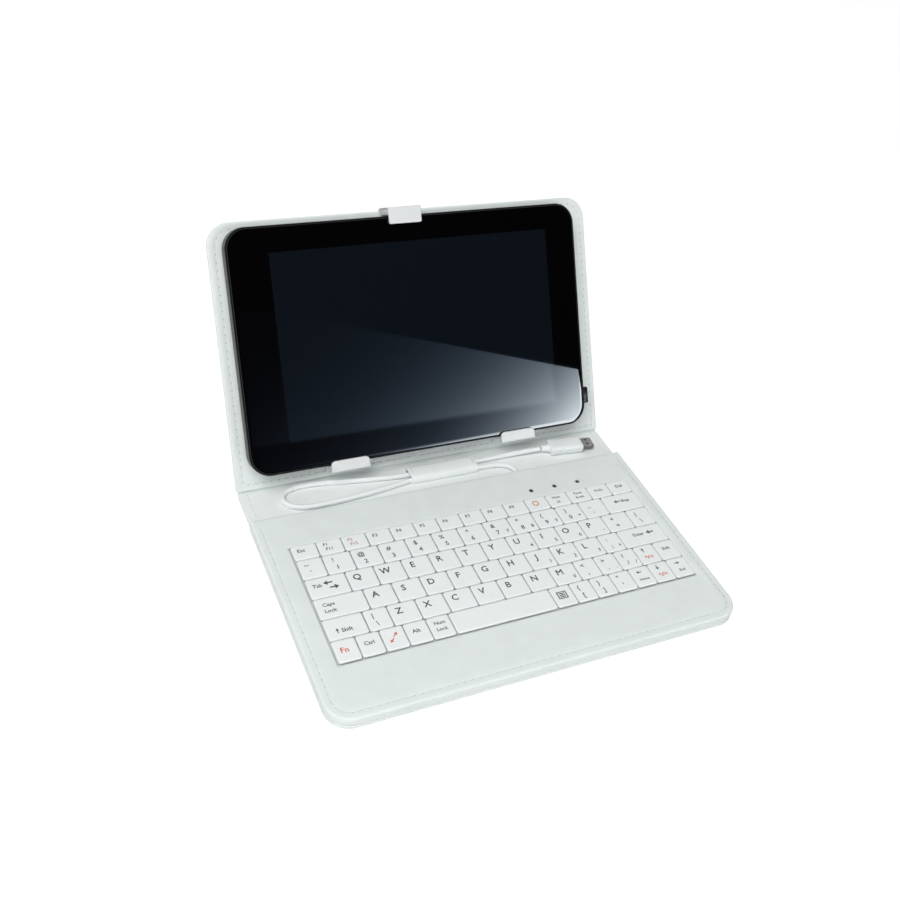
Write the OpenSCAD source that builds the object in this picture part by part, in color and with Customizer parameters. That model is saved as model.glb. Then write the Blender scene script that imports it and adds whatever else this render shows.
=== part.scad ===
// Folding keyboard case for a 7 inch tablet, standing open.
// X runs to the right, Y from the keyboard's front edge towards the lid, Z up.
// The origin is the centre of the keyboard half's underside.

/* [Case] */
// Width of the case
case_w = 214; // [206:1:230]
// Depth of the keyboard half, front edge to back edge
half_d = 128; // [124:1:140]
// Height of the keyboard half
half_h = 6.8; // [6.8:0.1:8]
// Radius of the case's outer corners
corner_r = 12; // [6:1:16]
// Distance between the two folds, which is the width of the spine
spine_d = 23; // [23:0.5:28]
// Thickness of the spine
spine_t = 3; // [2.8:0.1:3]

/* [Lid] */
// Length of the lid from its fold
lid_l = 138; // [138:1:150]
// Angle that the standing lid leans back from upright
lid_lean = 30; // [15:1:40]
// Distance up the lid of the leg's hinge
leg_at = 80; // [70:1:84]
// Angle of the leg behind upright, seen from its hinge
leg_splay = 24; // [15:1:28]
// Width of the leg
leg_w = 110; // [60:5:150]

/* [Keys] */
// Width of the whole block of keys
keys_w = 191.6; // [185:0.2:192]
// Depth of one row of keys
row_d = 13; // [12:0.1:13.2]
// Depth of the rear row of keys
rear_row_d = 10; // [8:0.1:11]
// Gap between neighbouring keys
key_gap = 0.5; // [0.4:0.1:0.8]
// Distance that a key travels
key_travel = 1.2; // [0.8:0.1:1.2]

/* [Tablet] */
// Width of the tablet
tablet_w = 194.5; // [185:0.5:197]
// Height of the tablet
tablet_h = 125; // [116:0.5:125]
// Thickness of the tablet
tablet_t = 10; // [8:0.1:10]
// Width of the display
display_w = 155; // [150:1:158]
// Height of the display
display_h = 94; // [86:1:98]

/* [Lead] */
// Diameter of the cable
cable_d = 2.8; // [2.4:0.1:3]

/* [Hidden] */

$fn = 48;

// colours
white_skin = [0.90, 0.92, 0.91];
white_lining = [0.87, 0.90, 0.89];
white_plastic = [0.93, 0.94, 0.94];
key_white = [0.94, 0.96, 0.96];
card_grey = [0.62, 0.60, 0.56];
glossy_black = [0.02, 0.02, 0.03];
metal_grey = [0.70, 0.70, 0.72];

// the keyboard half, from the table up
skin_t = 0.8;
rim_w = 2.4;
seam_z = 2.1;
board_top = 2;
tray_floor_top = 2.8;
film_top = 3;
dome_top = 4.6;
plate_top = 5.2;
cover_under = half_h - 1.2;
key_under = plate_top + key_travel + 0.1;
key_top = half_h + 0.8;
front_y = -half_d / 2;
back_y = half_d / 2;

// the folds
fold_z = spine_t / 2;
spine_fold_y = back_y + 1.8;
lid_fold_y = spine_fold_y + spine_d;
bead_r = 0.6;

// the block of keys: widths from the left, one list for each row, rear row first
keys_x = 1.8 - keys_w / 2;
keys_y = front_y + 29.6;
letter_w = 14.3;
small_w = 12;
bottom_w = 11.5;
rear_w = keys_w / 15;
grave_w = 12.6;
tab_w = 20;
caps_w = 24.5;
shift_w = 19.5;
equals_w = 15.2;
key_rows = [
    [for (i = [1 : 15]) rear_w],
    concat([grave_w], [for (i = [1 : 11]) letter_w], [keys_w - grave_w - 11 * letter_w]),
    concat([tab_w], [for (i = [1 : 10]) letter_w], [equals_w, keys_w - tab_w - 10 * letter_w - equals_w]),
    concat([caps_w], [for (i = [1 : 9]) letter_w], [small_w, keys_w - caps_w - 9 * letter_w - small_w]),
    concat([shift_w, small_w], [for (i = [1 : 7]) letter_w],
           [for (i = [1 : 5]) (keys_w - shift_w - small_w - 7 * letter_w) / 5]),
    concat([for (i = [1 : 5]) bottom_w], [keys_w - 12 * bottom_w], [for (i = [1 : 7]) bottom_w])
];
keys_d = 5 * row_d + rear_row_d;
plunger = 4;
plunger_gap = 0.4;
post_at = 18;

// the tray and what lies behind the keys
tray_x0 = keys_x - 3.4;
tray_x1 = keys_x + keys_w + 3.4;
tray_y0 = keys_y - 3.4;
tray_y1 = keys_y + keys_d + 14;
light_x = [41.8, 56.2, 70.6];
light_y = keys_y + keys_d + 6;
light_r = 1.2;
circuit_x = [22, 92];
circuit_y = [light_y - 3.6, light_y + 6.6];
circuit_z = 3.7;
circuit_t = 0.8;

// the cable's exit from the keyboard half's back edge
exit_x = 42;
exit_z = 4.1;
grommet_w = 7;

// the strap on the spine
strap_x = [-17, 22];
strap_y = [71.4, 87.2];
strap_flange = 3.4;
strap_top = 8.2;
strap_t = 1;

// the plug, lying on the spine and pointing right
plug_x = [69, 89];
plug_y = 77.4;
plug_turn = -5;
plug_z = 5.7;
plug_w = 10;
plug_relief = 5;
shell_l = 7;
shell_w = 7.2;
shell_t = 3;

// the lid, in its own frame: Y grows outwards through it, Z along it from the fold
lid_out = fold_z;
lid_in = -2.2;
lid_foot = 1.8;
lining_t = 0.9;
pocket_w = 26;
pocket_z = [88, lid_l - rim_w];

// the tablet in the lid
tablet_x = -4;
tablet_z = 10.2;
tablet_back = lid_in - 1.2;
tablet_front = tablet_back - tablet_t;
tablet_r = 11;
glass_t = 0.8;
hold_gap = 0.3;
lip_t = 1.5;
hook_w = 21;
hook_x = [-49.5, 48.5];
hook_z = 5;
hook_lip_top = 12.6;
shelf_t = 1.8;
flange_t = 0.9;
clip_x = -7;
clip_w = 18;
clip_lip_z = 130;

// the leg, in the lid's frame when folded away
leg_t = 2.6;
leg_y = lid_out + 0.3 + leg_t / 2;
leg_turn = lid_lean + leg_splay;
leg_hinge_z = fold_z + leg_at * cos(lid_lean) - leg_y * sin(lid_lean);
leg_l = (leg_hinge_z - leg_t / 2 * sin(leg_splay)) / cos(leg_splay);
leg_skin_t = 0.7;

// the cable's route, from the exit to the back of the plug
cable_route = [
    [42, 64, 4.1], [42, 66.4, 4.4], [41.2, 69.2, 4.4], [38.8, 71.6, 4.4],
    [35.4, 73.2, 4.4], [30, 74, 4.4], [22, 74.2, 4.4], [4, 74, 4.4],
    [-16, 74, 4.4], [-34, 71.2, 4.4], [-50, 69.3, 4.4], [-66, 68.4, 4.4],
    [-75.6, 68.6, 4.4], [-81.8, 70.4, 4.4], [-85.6, 73.8, 4.4], [-86.4, 77.8, 4.4],
    [-84.4, 81.4, 4.4], [-79.8, 83.8, 4.4], [-73.4, 84.6, 4.4], [-62, 83.9, 4.4],
    [-46, 81.5, 4.4], [-30, 79.4, 4.4], [-16, 78.4, 4.4], [4, 78.6, 4.4],
    [22, 79.3, 4.4], [36, 79.6, 4.5], [48, 79.5, 5], [57, 79, 5.5],
    [63.1, 78.7, 5.7]
];
cable_sides = 8;

// ---------- shared shapes ----------

// An outline from y = 0 to y = d, with front and back corners of their own radii
module soft_rect(w, d, front_r, back_r) {
    translate([-w / 2, front_r]) square([w, d - front_r - back_r]);
    translate([-w / 2 + front_r, 0]) square([w - 2 * front_r, d - back_r]);
    translate([-w / 2 + back_r, front_r]) square([w - 2 * back_r, d - front_r]);
    for (side = [-1, 1]) {
        if (front_r > 0) translate([side * (w / 2 - front_r), front_r]) circle(front_r);
        if (back_r > 0) translate([side * (w / 2 - back_r), d - back_r]) circle(back_r);
    }
}

// A box between two corners
module block(x, y, z) {
    translate([x[0], y[0], z[0]]) cube([x[1] - x[0], y[1] - y[0], z[1] - z[0]]);
}

// A flat slab of the keyboard half's outline, drawn in by inset on three sides, and by back_inset behind
module half_slab(z, inset, back_inset) {
    translate([0, front_y + inset, z[0]])
        linear_extrude(z[1] - z[0])
            soft_rect(case_w - 2 * inset, half_d - inset - back_inset, corner_r - inset, 0);
}

// A slab standing in the lid's frame, from y[0] to y[1], rising from foot to top
module lid_slab(w, foot, top, y, foot_r, top_r) {
    translate([0, y[1], foot])
        rotate([90, 0, 0])
            linear_extrude(y[1] - y[0])
                soft_rect(w, top - foot, foot_r, top_r);
}

module on_lid() {
    translate([0, lid_fold_y, fold_z]) rotate([-lid_lean, 0, 0]) children();
}

module on_leg() {
    on_lid() translate([0, leg_y, leg_at]) rotate([leg_turn, 0, 0]) children();
}

// ---------- keyboard half ----------

module keyboard_outer_skin() color(white_skin) {
    half_slab([0, skin_t], 0, 0);
    block([-case_w / 2 + 3, case_w / 2 - 3], [back_y - 1, back_y + 0.9], [0, skin_t]);
    difference() {
        half_slab([0, seam_z], 0, 0);
        half_slab([skin_t, seam_z + 1], rim_w, rim_w);
    }
}

module keyboard_board() color(card_grey)
    half_slab([skin_t, board_top], rim_w + 0.1, rim_w + 0.1);

module foam_spacer() color([0.75, 0.75, 0.72])
    difference() {
        half_slab([board_top + 0.1, cover_under - 0.05], rim_w + 0.2, rim_w + 0.2);
        block([tray_x0 - 0.3, tray_x1 + 0.3], [tray_y0 - 0.3, tray_y1 + 0.3], [0, half_h]);
        block([exit_x - grommet_w / 2 - 0.3, exit_x + grommet_w / 2 + 0.3],
              [tray_y1, back_y + 1], [0, half_h]);
    }

module keyboard_tray() color(white_plastic) {
    wall = 1.2;
    difference() {
        block([tray_x0, tray_x1], [tray_y0, tray_y1], [board_top, cover_under - 0.1]);
        block([tray_x0 + wall, tray_x1 - wall], [tray_y0 + wall, tray_y1 - wall],
              [tray_floor_top, half_h]);
        block([exit_x - 2, exit_x + 2], [tray_y1 - 2 * wall, tray_y1 + 1], [exit_z - 1.2, half_h]);
    }
    for (x = circuit_x) boss(x + (x < 50 ? 3 : -3), circuit_y[1] - 3);
}

// A boss that carries one screw of the controller board
module boss(x, y)
    difference() {
        translate([x, y, tray_floor_top - 0.1]) cylinder(r = 2, h = circuit_z - tray_floor_top + 0.1);
        translate([x, y, tray_floor_top]) cylinder(r = 0.62, h = 3);
    }

module circuit_film() color([0.55, 0.65, 0.75]) {
    block([keys_x - 1.6, keys_x + keys_w + 1.6], [keys_y - 1.6, keys_y + keys_d + 1],
          [tray_floor_top, film_top]);
    block([30, 38], [keys_y + keys_d, circuit_y[0] + 3], [tray_floor_top, film_top]);
}

// The middle of one key
function left_of(row, i) = i == 0 ? keys_x : left_of(row, i - 1) + key_rows[row][i - 1];
function row_y(row) = row == 0 ? keys_y + 5 * row_d : keys_y + (5 - row) * row_d;
function row_depth(row) = row == 0 ? rear_row_d : row_d;
function middle_x(row, i) = left_of(row, i) + key_rows[row][i] / 2;
function middle_y(row) = row_y(row) + row_depth(row) / 2;

module at_every_key()
    for (row = [0 : 5])
        for (i = [0 : len(key_rows[row]) - 1])
            translate([middle_x(row, i), middle_y(row), 0]) children();

module rubber_domes() color([0.80, 0.82, 0.80]) {
    block([keys_x - 1.6, keys_x + keys_w + 1.6], [keys_y - 1.6, keys_y + keys_d + 1],
          [film_top, film_top + 0.3]);
    at_every_key() translate([0, 0, film_top + 0.1])
        cylinder(r1 = 3.2, r2 = 2, h = dome_top - film_top - 0.1, $fn = 24);
}

module key_plate() color([0.85, 0.86, 0.86])
    difference() {
        block([keys_x - 1.8, keys_x + keys_w + 1.8], [keys_y - 1.8, keys_y + keys_d + 1.6],
              [dome_top + 0.05, plate_top]);
        at_every_key()
            translate([-plunger / 2 - plunger_gap, -plunger / 2 - plunger_gap, 0])
                cube([plunger + 2 * plunger_gap, plunger + 2 * plunger_gap, half_h]);
        for (side = [-1, 1])
            translate([middle_x(5, 5) + side * post_at, middle_y(5), 0]) cylinder(r = 1.4, h = half_h);
    }

module controller_board() {
    color([0.10, 0.35, 0.20])
        difference() {
            block(circuit_x, circuit_y, [circuit_z, circuit_z + circuit_t]);
            for (x = circuit_x)
                translate([x + (x < 50 ? 3 : -3), circuit_y[1] - 3, 0]) cylinder(r = 0.8, h = half_h);
        }
    color([0.05, 0.05, 0.05])
        block([28, 35], [light_y - 2.6, light_y + 3.4],
              [circuit_z + circuit_t, circuit_z + circuit_t + 0.6]);
    color([0.92, 0.90, 0.80])
        for (x = light_x)
            block([x - 0.8, x + 0.8], [light_y - 0.6, light_y + 0.6],
                  [circuit_z + circuit_t, circuit_z + circuit_t + 0.4]);
}

module board_screws() color(metal_grey)
    for (x = circuit_x)
        translate([x + (x < 50 ? 3 : -3), circuit_y[1] - 3, 0]) {
            translate([0, 0, tray_floor_top + 0.1])
                cylinder(r = 0.6, h = circuit_z + circuit_t - tray_floor_top - 0.1);
            translate([0, 0, circuit_z + circuit_t]) cylinder(r = 1.3, h = 0.5);
        }

module indicator_lights() color([0.15, 0.17, 0.17])
    for (x = light_x)
        translate([x, light_y, circuit_z + circuit_t + 0.45])
            cylinder(r = light_r, h = half_h + 0.1 - circuit_z - circuit_t - 0.45);

module top_cover() color(white_skin)
    difference() {
        union() {
            half_slab([cover_under, half_h - 0.5], 0, 0);
            half_slab([cover_under, half_h], 0.7, 0.7);
            difference() {
                half_slab([seam_z + 0.1, cover_under + 0.1], 0, 0);
                half_slab([0, half_h], rim_w, rim_w);
            }
        }
        block([keys_x - 0.4, keys_x + keys_w + 0.4], [keys_y - 0.4, keys_y + keys_d + 0.4],
              [0, half_h + 1]);
        for (x = light_x) translate([x, light_y, 0]) cylinder(r = light_r + 0.15, h = half_h + 1);
        block([exit_x - grommet_w / 2 - 0.2, exit_x + grommet_w / 2 + 0.2],
              [back_y - 2 * rim_w, back_y + 1], [0, cover_under]);
    }

module cable_grommet() color(white_plastic)
    difference() {
        block([exit_x - grommet_w / 2, exit_x + grommet_w / 2], [tray_y1 + 0.3, back_y],
              [board_top + 0.5, cover_under - 0.1]);
        for (side = [-1, 1])
            translate([exit_x + side * grommet_w / 2, back_y - 4, 0]) cylinder(r = 0.8, h = half_h);
    }

// One key: a flat cap with a stepped edge, and the plunger that stands on its dome
module keycap(row, i) {
    w = key_rows[row][i] - key_gap;
    d = row_depth(row) - key_gap;
    step = 0.35;
    translate([middle_x(row, i), middle_y(row), 0]) {
        translate([-w / 2, -d / 2, key_under]) cube([w, d, key_top - key_under - step]);
        translate([-w / 2 + step, -d / 2 + step, key_under])
            cube([w - 2 * step, d - 2 * step, key_top - key_under]);
        translate([-plunger / 2, -plunger / 2, dome_top]) cube([plunger, plunger, key_top - dome_top - 0.5]);
    }
}

// A run of neighbouring keys in one row
module keycaps(row, first, last) color(key_white)
    for (i = [first : last]) keycap(row, i);

module key_escape() keycaps(0, 0, 0);
module function_keys() keycaps(0, 1, 9);
module lock_keys() keycaps(0, 10, 13);
module key_delete() keycaps(0, 14, 14);
module number_row_keys() keycaps(1, 0, 11);
module key_backspace() keycaps(1, 12, 12);
module key_tab() keycaps(2, 0, 0);
module letter_keys_q_to_p() keycaps(2, 1, 10);
module key_caps_lock() keycaps(3, 0, 0);
module letter_keys_a_to_l() keycaps(3, 1, 9);
module key_enter() keycaps(3, 11, 11);
module key_shift_left() keycaps(4, 0, 0);
module letter_keys_z_to_m() keycaps(4, 2, 8);
module key_arrow_up() keycaps(4, 12, 12);
module key_shift_right() keycaps(4, 13, 13);
module key_fn() keycaps(5, 0, 0);
module key_control() keycaps(5, 1, 1);
module key_alternate() keycaps(5, 3, 3);
module key_arrow_left() keycaps(5, 10, 10);
module key_arrow_down() keycaps(5, 11, 11);
module key_arrow_right() keycaps(5, 12, 12);

module symbol_keys() {
    keycaps(2, 11, 12);
    keycaps(3, 10, 10);
    keycaps(4, 1, 1);
    keycaps(4, 9, 11);
    keycaps(5, 7, 9);
}

module system_keys() {
    keycaps(5, 2, 2);
    keycaps(5, 4, 4);
    keycaps(5, 6, 6);
}

module key_space() {
    keycaps(5, 5, 5);
    color(key_white)
        for (side = [-1, 1])
            translate([middle_x(5, 5) + side * post_at, middle_y(5), dome_top + 0.2])
                cylinder(r = 1, h = key_under - dome_top);
}

// ---------- spine ----------

spine_y0 = spine_fold_y + 0.5;
spine_y1 = lid_fold_y - 1;

module spine_skin() color(white_skin) {
    block([-case_w / 2 + 0.5, case_w / 2 - 0.5], [spine_y0, spine_y1], [0, skin_t]);
    for (x = [-case_w / 2 + 0.5, case_w / 2 - 0.5 - rim_w])
        block([x, x + rim_w], [spine_y0, spine_y1], [0, spine_t - 0.7]);
    translate([-case_w / 2 + 0.5, spine_fold_y, fold_z])
        rotate([0, 90, 0]) cylinder(r = bead_r, h = case_w - 1);
    block([-case_w / 2 + 0.5, case_w / 2 - 0.5], [spine_fold_y, spine_y0 + rim_w],
          [fold_z - bead_r, fold_z]);
}

module spine_board() color(card_grey)
    block([-case_w / 2 + 0.6 + rim_w, case_w / 2 - 0.6 - rim_w],
          [spine_y0 + rim_w + 0.1, spine_y1 - 0.3], [skin_t, spine_t - 0.8]);

module spine_lining() color(white_lining)
    block([-case_w / 2 + 0.5, case_w / 2 - 0.5], [spine_y0, spine_y1], [spine_t - 0.7, spine_t]);

module cable_strap() color(white_skin) {
    hollow_back = strap_y[1] - strap_flange - strap_t;
    difference() {
        block(strap_x, [strap_y[0], strap_y[1] - strap_flange], [spine_t, strap_top]);
        block([strap_x[0] - 1, strap_x[1] + 1], [strap_y[0] + strap_t, hollow_back],
              [spine_t - 1, strap_top - strap_t]);
    }
    block(strap_x, [hollow_back, strap_y[1]], [spine_t, spine_t + 0.6]);
}

// ---------- lead ----------

function curve_at(p, i, t) =
    let(a = p[max(i - 1, 0)], b = p[i], c = p[i + 1], d = p[min(i + 2, len(p) - 1)])
    0.5 * (2 * b + (c - a) * t + (2 * a - 5 * b + 4 * c - d) * t * t
           + (3 * b - a - 3 * c + d) * t * t * t);
function unit(v) = v / norm(v);

// Points along the route: long stretches are cut in three, the bends in two
cable_points = concat(
    [for (i = [0 : len(cable_route) - 2])
        let(cuts = norm(cable_route[i + 1] - cable_route[i]) > 12 ? 3 : 2)
        for (k = [0 : cuts - 1]) curve_at(cable_route, i, k / cuts)],
    [cable_route[len(cable_route) - 1]]
);

// The ring of points round the cable at one place on it
function cable_ring(i) =
    let(last = len(cable_points) - 1,
        along = i == 0 ? [0, 1, 0] : i == last ? [1, 0, 0]
              : unit(cable_points[i + 1] - cable_points[i - 1]),
        across = unit(cross(along, [0, 0, 1])),
        up = cross(across, along))
    [for (k = [0 : cable_sides - 1])
        let(turn = 360 * (k + 0.5) / cable_sides)
        cable_points[i] + cable_d / 2 * (cos(turn) * across + sin(turn) * up)];

module usb_cable() color(white_plastic) {
    rings = len(cable_points);
    points = [for (i = [0 : rings - 1]) each cable_ring(i)];
    walls = [for (i = [0 : rings - 2]) for (k = [0 : cable_sides - 1])
        let(a = i * cable_sides + k, b = i * cable_sides + (k + 1) % cable_sides)
        [a, b, b + cable_sides, a + cable_sides]];
    start = [for (k = [cable_sides - 1 : -1 : 0]) k];
    end = [for (k = [0 : cable_sides - 1]) (rings - 1) * cable_sides + k];
    polyhedron(points, concat(walls, [start, end]));
}

// The plug's own frame: its middle at the origin, pointing right
module on_plug()
    translate([(plug_x[0] + plug_x[1]) / 2, plug_y, plug_z]) rotate([0, 0, plug_turn]) children();
plug_half = (plug_x[1] - plug_x[0]) / 2;

module plug_body() color(white_plastic) on_plug()
    difference() {
        union() {
            translate([-plug_half, 0, -2.7]) rotate([90, 0, 90])
                linear_extrude(2 * plug_half) soft_rect(plug_w, 5.4, 1.8, 1.8);
            translate([-plug_half - plug_relief, 0, 0]) rotate([0, 90, 0])
                cylinder(r1 = 1.7, r2 = 2.5, h = plug_relief + 1);
        }
        for (side = [-1, 1]) for (k = [0 : 3])
            translate([4 + k * 2.4 - plug_half - 0.4, side * plug_w / 2 - 0.4, -10])
                cube([0.8, 0.8, 20]);
    }

module plug_shell() color(metal_grey) on_plug()
    difference() {
        block([plug_half, plug_half + shell_l], [-shell_w / 2, shell_w / 2], [-shell_t / 2, shell_t / 2]);
        block([plug_half + 0.6, plug_half + shell_l + 1], [0.35 - shell_w / 2, shell_w / 2 - 0.35],
              [0.35 - shell_t / 2, shell_t / 2 - 0.35]);
    }

module plug_tongue() color([0.08, 0.08, 0.08]) on_plug()
    block([plug_half + 0.6, plug_half + shell_l - 0.6], [-2.4, 2.4], [-0.7, 0.2]);

// ---------- lid ----------

module lid_skin() color(white_skin) on_lid() {
    difference() {
        union() {
            lid_slab(case_w, lid_foot, lid_l, [lid_out - skin_t, lid_out], 1, corner_r);
            difference() {
                lid_slab(case_w, lid_foot, lid_l, [lid_in + lining_t, lid_out], 1, corner_r);
                lid_slab(case_w - 2 * rim_w, lid_foot + rim_w, lid_l - rim_w,
                         [lid_in - 1, lid_out - skin_t], 0, corner_r - rim_w);
            }
        }
        block([clip_x - clip_w / 2 - 0.6, clip_x + clip_w / 2 + 0.6],
              [-1, lid_out - skin_t], [lid_l - rim_w - 1, lid_l + 1]);
        block([clip_x - clip_w / 2 - 0.6, clip_x + clip_w / 2 + 0.6],
              [lid_in - 1, 0], [lid_l - rim_w - 1, lid_l + 1]);
    }
    translate([-case_w / 2 + 0.5, 0, 0]) rotate([0, 90, 0]) cylinder(r = bead_r, h = case_w - 1);
    block([-case_w / 2 + 0.5, case_w / 2 - 0.5], [0, bead_r], [0, lid_foot + 1]);
}

module lid_board() color(card_grey) on_lid()
    difference() {
        lid_slab(case_w - 2 * rim_w - 0.2, lid_foot + rim_w + 0.1, lid_l - rim_w - 0.1,
                 [lid_in + lining_t, lid_out - skin_t], 0, corner_r - rim_w);
        block([clip_x - pocket_w / 2, clip_x + pocket_w / 2], [lid_in - 1, lid_out],
              [pocket_z[0], lid_l]);
        rivet_holes();
    }

// The centres of the rivets that hold the hooks
module at_rivets()
    for (x = hook_x) for (side = [-1, 1]) translate([x + side * 6, 0, 17]) children();

module rivet_holes() at_rivets()
    translate([0, 5, 0]) rotate([90, 0, 0]) cylinder(r = 1.1, h = 10);

module lid_lining() color(white_lining) on_lid()
    difference() {
        lid_slab(case_w - 1.2, lid_foot + 0.4, lid_l - 0.6, [lid_in, lid_in + lining_t - 0.05],
                 1, corner_r - 0.6);
        block([clip_x - clip_w / 2 - 0.6, clip_x + clip_w / 2 + 0.6], [lid_in - 1, 0],
              [lid_l - rim_w - 1, lid_l + 1]);
        rivet_holes();
    }

// A hook: a flange riveted to the lid, a shelf under the tablet and a lip before its glass
module bottom_hook(x) color(white_plastic) on_lid() {
    lip = [tablet_front - hold_gap - lip_t, tablet_front - hold_gap];
    difference() {
        block([x - hook_w / 2, x + hook_w / 2], [lid_in - flange_t, lid_in - 0.02], [hook_z, 21]);
        rivet_holes();
    }
    block([x - hook_w / 2, x + hook_w / 2], [lip[0], lid_in - 0.02],
          [tablet_z - hold_gap - shelf_t, tablet_z - hold_gap]);
    translate([x, lip[1], hook_z]) rotate([90, 0, 0])
        linear_extrude(lip_t) soft_rect(hook_w, hook_lip_top - hook_z, 0, 2.4);
}

module bottom_hook_left() bottom_hook(hook_x[0]);
module bottom_hook_right() bottom_hook(hook_x[1]);

module hook_rivets() color(metal_grey) on_lid() at_rivets() {
    translate([0, lid_out - skin_t - 0.05, 0]) rotate([90, 0, 0])
        cylinder(r = 1.05, h = lid_out - skin_t - lid_in + flange_t);
    translate([0, lid_in - flange_t, 0]) rotate([90, 0, 0]) cylinder(r = 2, h = 0.25);
}

module clip_elastic() color([0.85, 0.85, 0.80]) on_lid()
    block([clip_x - 6, clip_x + 6], [-0.7, -0.1], [pocket_z[0] + 1, 101.9]);

// The clip: a slider in the lid's pocket, a neck over the lid's top edge and a lip before the glass
module top_clip() color(white_plastic) on_lid() {
    x = [clip_x - clip_w / 2, clip_x + clip_w / 2];
    lip = [tablet_front - hold_gap - lip_t, tablet_front - hold_gap];
    block([clip_x - pocket_w / 2 + 0.5, clip_x + pocket_w / 2 - 0.5], [-0.9, 0.1], [102, 123]);
    block(x, [-0.9, 0.1], [120, lid_l + 1.6]);
    block(x, [lip[1] - 0.5, 0.1], [lid_l + 0.2, lid_l + 1.6]);
    block(x, [lip[1] - 0.5, lid_in - 0.4], [tablet_z + tablet_h + hold_gap, lid_l + 1.6]);
    translate([clip_x, lip[1], clip_lip_z]) rotate([90, 0, 0])
        linear_extrude(lip_t) soft_rect(clip_w, lid_l + 1.6 - clip_lip_z, 0.8, 0.8);
}

// ---------- stand ----------

module kickstand_hinge_strip() color(white_skin) on_lid()
    block([-leg_w / 2, leg_w / 2], [lid_out, lid_out + 0.8], [leg_at + 1.6, leg_at + 12]);

module kickstand_leg() color(white_skin) on_leg() {
    difference() {
        translate([0, leg_t / 2, -leg_l]) rotate([90, 0, 0])
            linear_extrude(leg_t) soft_rect(leg_w, leg_l - 1, 6, 0);
        block([-leg_w / 2 + 3, leg_w / 2 - 3], [-leg_t / 2 + leg_skin_t, leg_t / 2 - leg_skin_t],
              [-leg_l + 3, -3]);
    }
    translate([-leg_w / 2, 0, 0]) rotate([0, 90, 0]) cylinder(r = 0.9, h = leg_w);
    block([-leg_w / 2, leg_w / 2], [-0.4, 0.4], [-1.5, 0]);
}

module kickstand_board() color(card_grey) on_leg()
    block([-leg_w / 2 + 3.1, leg_w / 2 - 3.1],
          [-leg_t / 2 + leg_skin_t + 0.05, leg_t / 2 - leg_skin_t - 0.05], [-leg_l + 3.1, -3.1]);

// The stay: a ribbon from the lid's back to the leg, taut when the leg stands out
stay_z = 38;
stay_w = 12;
stay_low = [leg_y - leg_t / 2 * cos(leg_turn) + stay_z * sin(leg_turn),
            leg_at - stay_z * cos(leg_turn) - leg_t / 2 * sin(leg_turn)];
stay_high = [lid_out, leg_at - 44];
module kickstand_stay() color(white_lining) on_lid() {
    run = stay_low - stay_high;
    long = norm(run);
    translate([-stay_w / 2, stay_high[0] + 0.4, stay_high[1]])
        rotate([atan2(run[1], run[0]), 0, 0])
            cube([stay_w, long - 0.9, 0.5]);
}

// ---------- tablet ----------

module tablet_slab(y, inset)
    translate([tablet_x, 0, 0])
        lid_slab(tablet_w - 2 * inset, tablet_z + inset, tablet_z + tablet_h - inset, y,
                 tablet_r - inset, tablet_r - inset);

button_z = [18.4, 28];
button_y = [-9, -7];

module tablet_shell() color(glossy_black) on_lid()
    difference() {
        union() {
            tablet_slab([tablet_front + glass_t + 0.02, tablet_back - 1.2], 0.2);
            tablet_slab([tablet_back - 1.3, tablet_back], 1.6);
        }
        translate([tablet_x, 0, 0])
            lid_slab(tablet_w - 3, tablet_z + 1.5, tablet_z + tablet_h - 1.5,
                     [tablet_front - 1, tablet_front + 3.4], 9, 9);
        block([tablet_x + tablet_w / 2 - 1.3, tablet_x + tablet_w / 2 + 1],
              [button_y[0] - 0.2, button_y[1] + 0.2], [button_z[0] - 0.2, button_z[1] + 0.2]);
        block([64, 70], [tablet_front + 3.8, tablet_front + 5.8], [tablet_z - 1, tablet_z + 1]);
    }

module tablet_glass() color(glossy_black) on_lid()
    tablet_slab([tablet_front, tablet_front + glass_t], 0);

module tablet_display() color([0.05, 0.07, 0.09]) on_lid()
    translate([tablet_x, 0, 0])
        lid_slab(display_w, tablet_z + (tablet_h - display_h) / 2,
                 tablet_z + (tablet_h + display_h) / 2,
                 [tablet_front + glass_t + 0.05, tablet_front + glass_t + 1.6], 0.5, 0.5);

module tablet_button() color([0.10, 0.10, 0.11]) on_lid()
    block([tablet_x + tablet_w / 2 - 0.8, tablet_x + tablet_w / 2 + 0.7], button_y, button_z);

keyboard_outer_skin();
keyboard_board();
foam_spacer();
keyboard_tray();
circuit_film();
rubber_domes();
key_plate();
controller_board();
board_screws();
indicator_lights();
top_cover();
cable_grommet();
key_escape();
function_keys();
lock_keys();
key_delete();
number_row_keys();
key_backspace();
key_tab();
letter_keys_q_to_p();
key_caps_lock();
letter_keys_a_to_l();
key_enter();
key_shift_left();
letter_keys_z_to_m();
symbol_keys();
key_arrow_up();
key_shift_right();
key_fn();
key_control();
key_alternate();
system_keys();
key_space();
key_arrow_left();
key_arrow_down();
key_arrow_right();
spine_skin();
spine_board();
spine_lining();
cable_strap();
usb_cable();
plug_body();
plug_shell();
plug_tongue();
lid_skin();
lid_board();
lid_lining();
bottom_hook_left();
bottom_hook_right();
hook_rivets();
clip_elastic();
top_clip();
kickstand_hinge_strip();
kickstand_stay();
kickstand_leg();
kickstand_board();
tablet_shell();
tablet_glass();
tablet_display();
tablet_button();
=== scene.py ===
"""Looks of a folding keyboard case for a small tablet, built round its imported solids."""

import math

import bpy
import numpy as np
from bpy.props import FloatProperty, FloatVectorProperty, PointerProperty
from mathutils import Matrix, Vector


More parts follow.
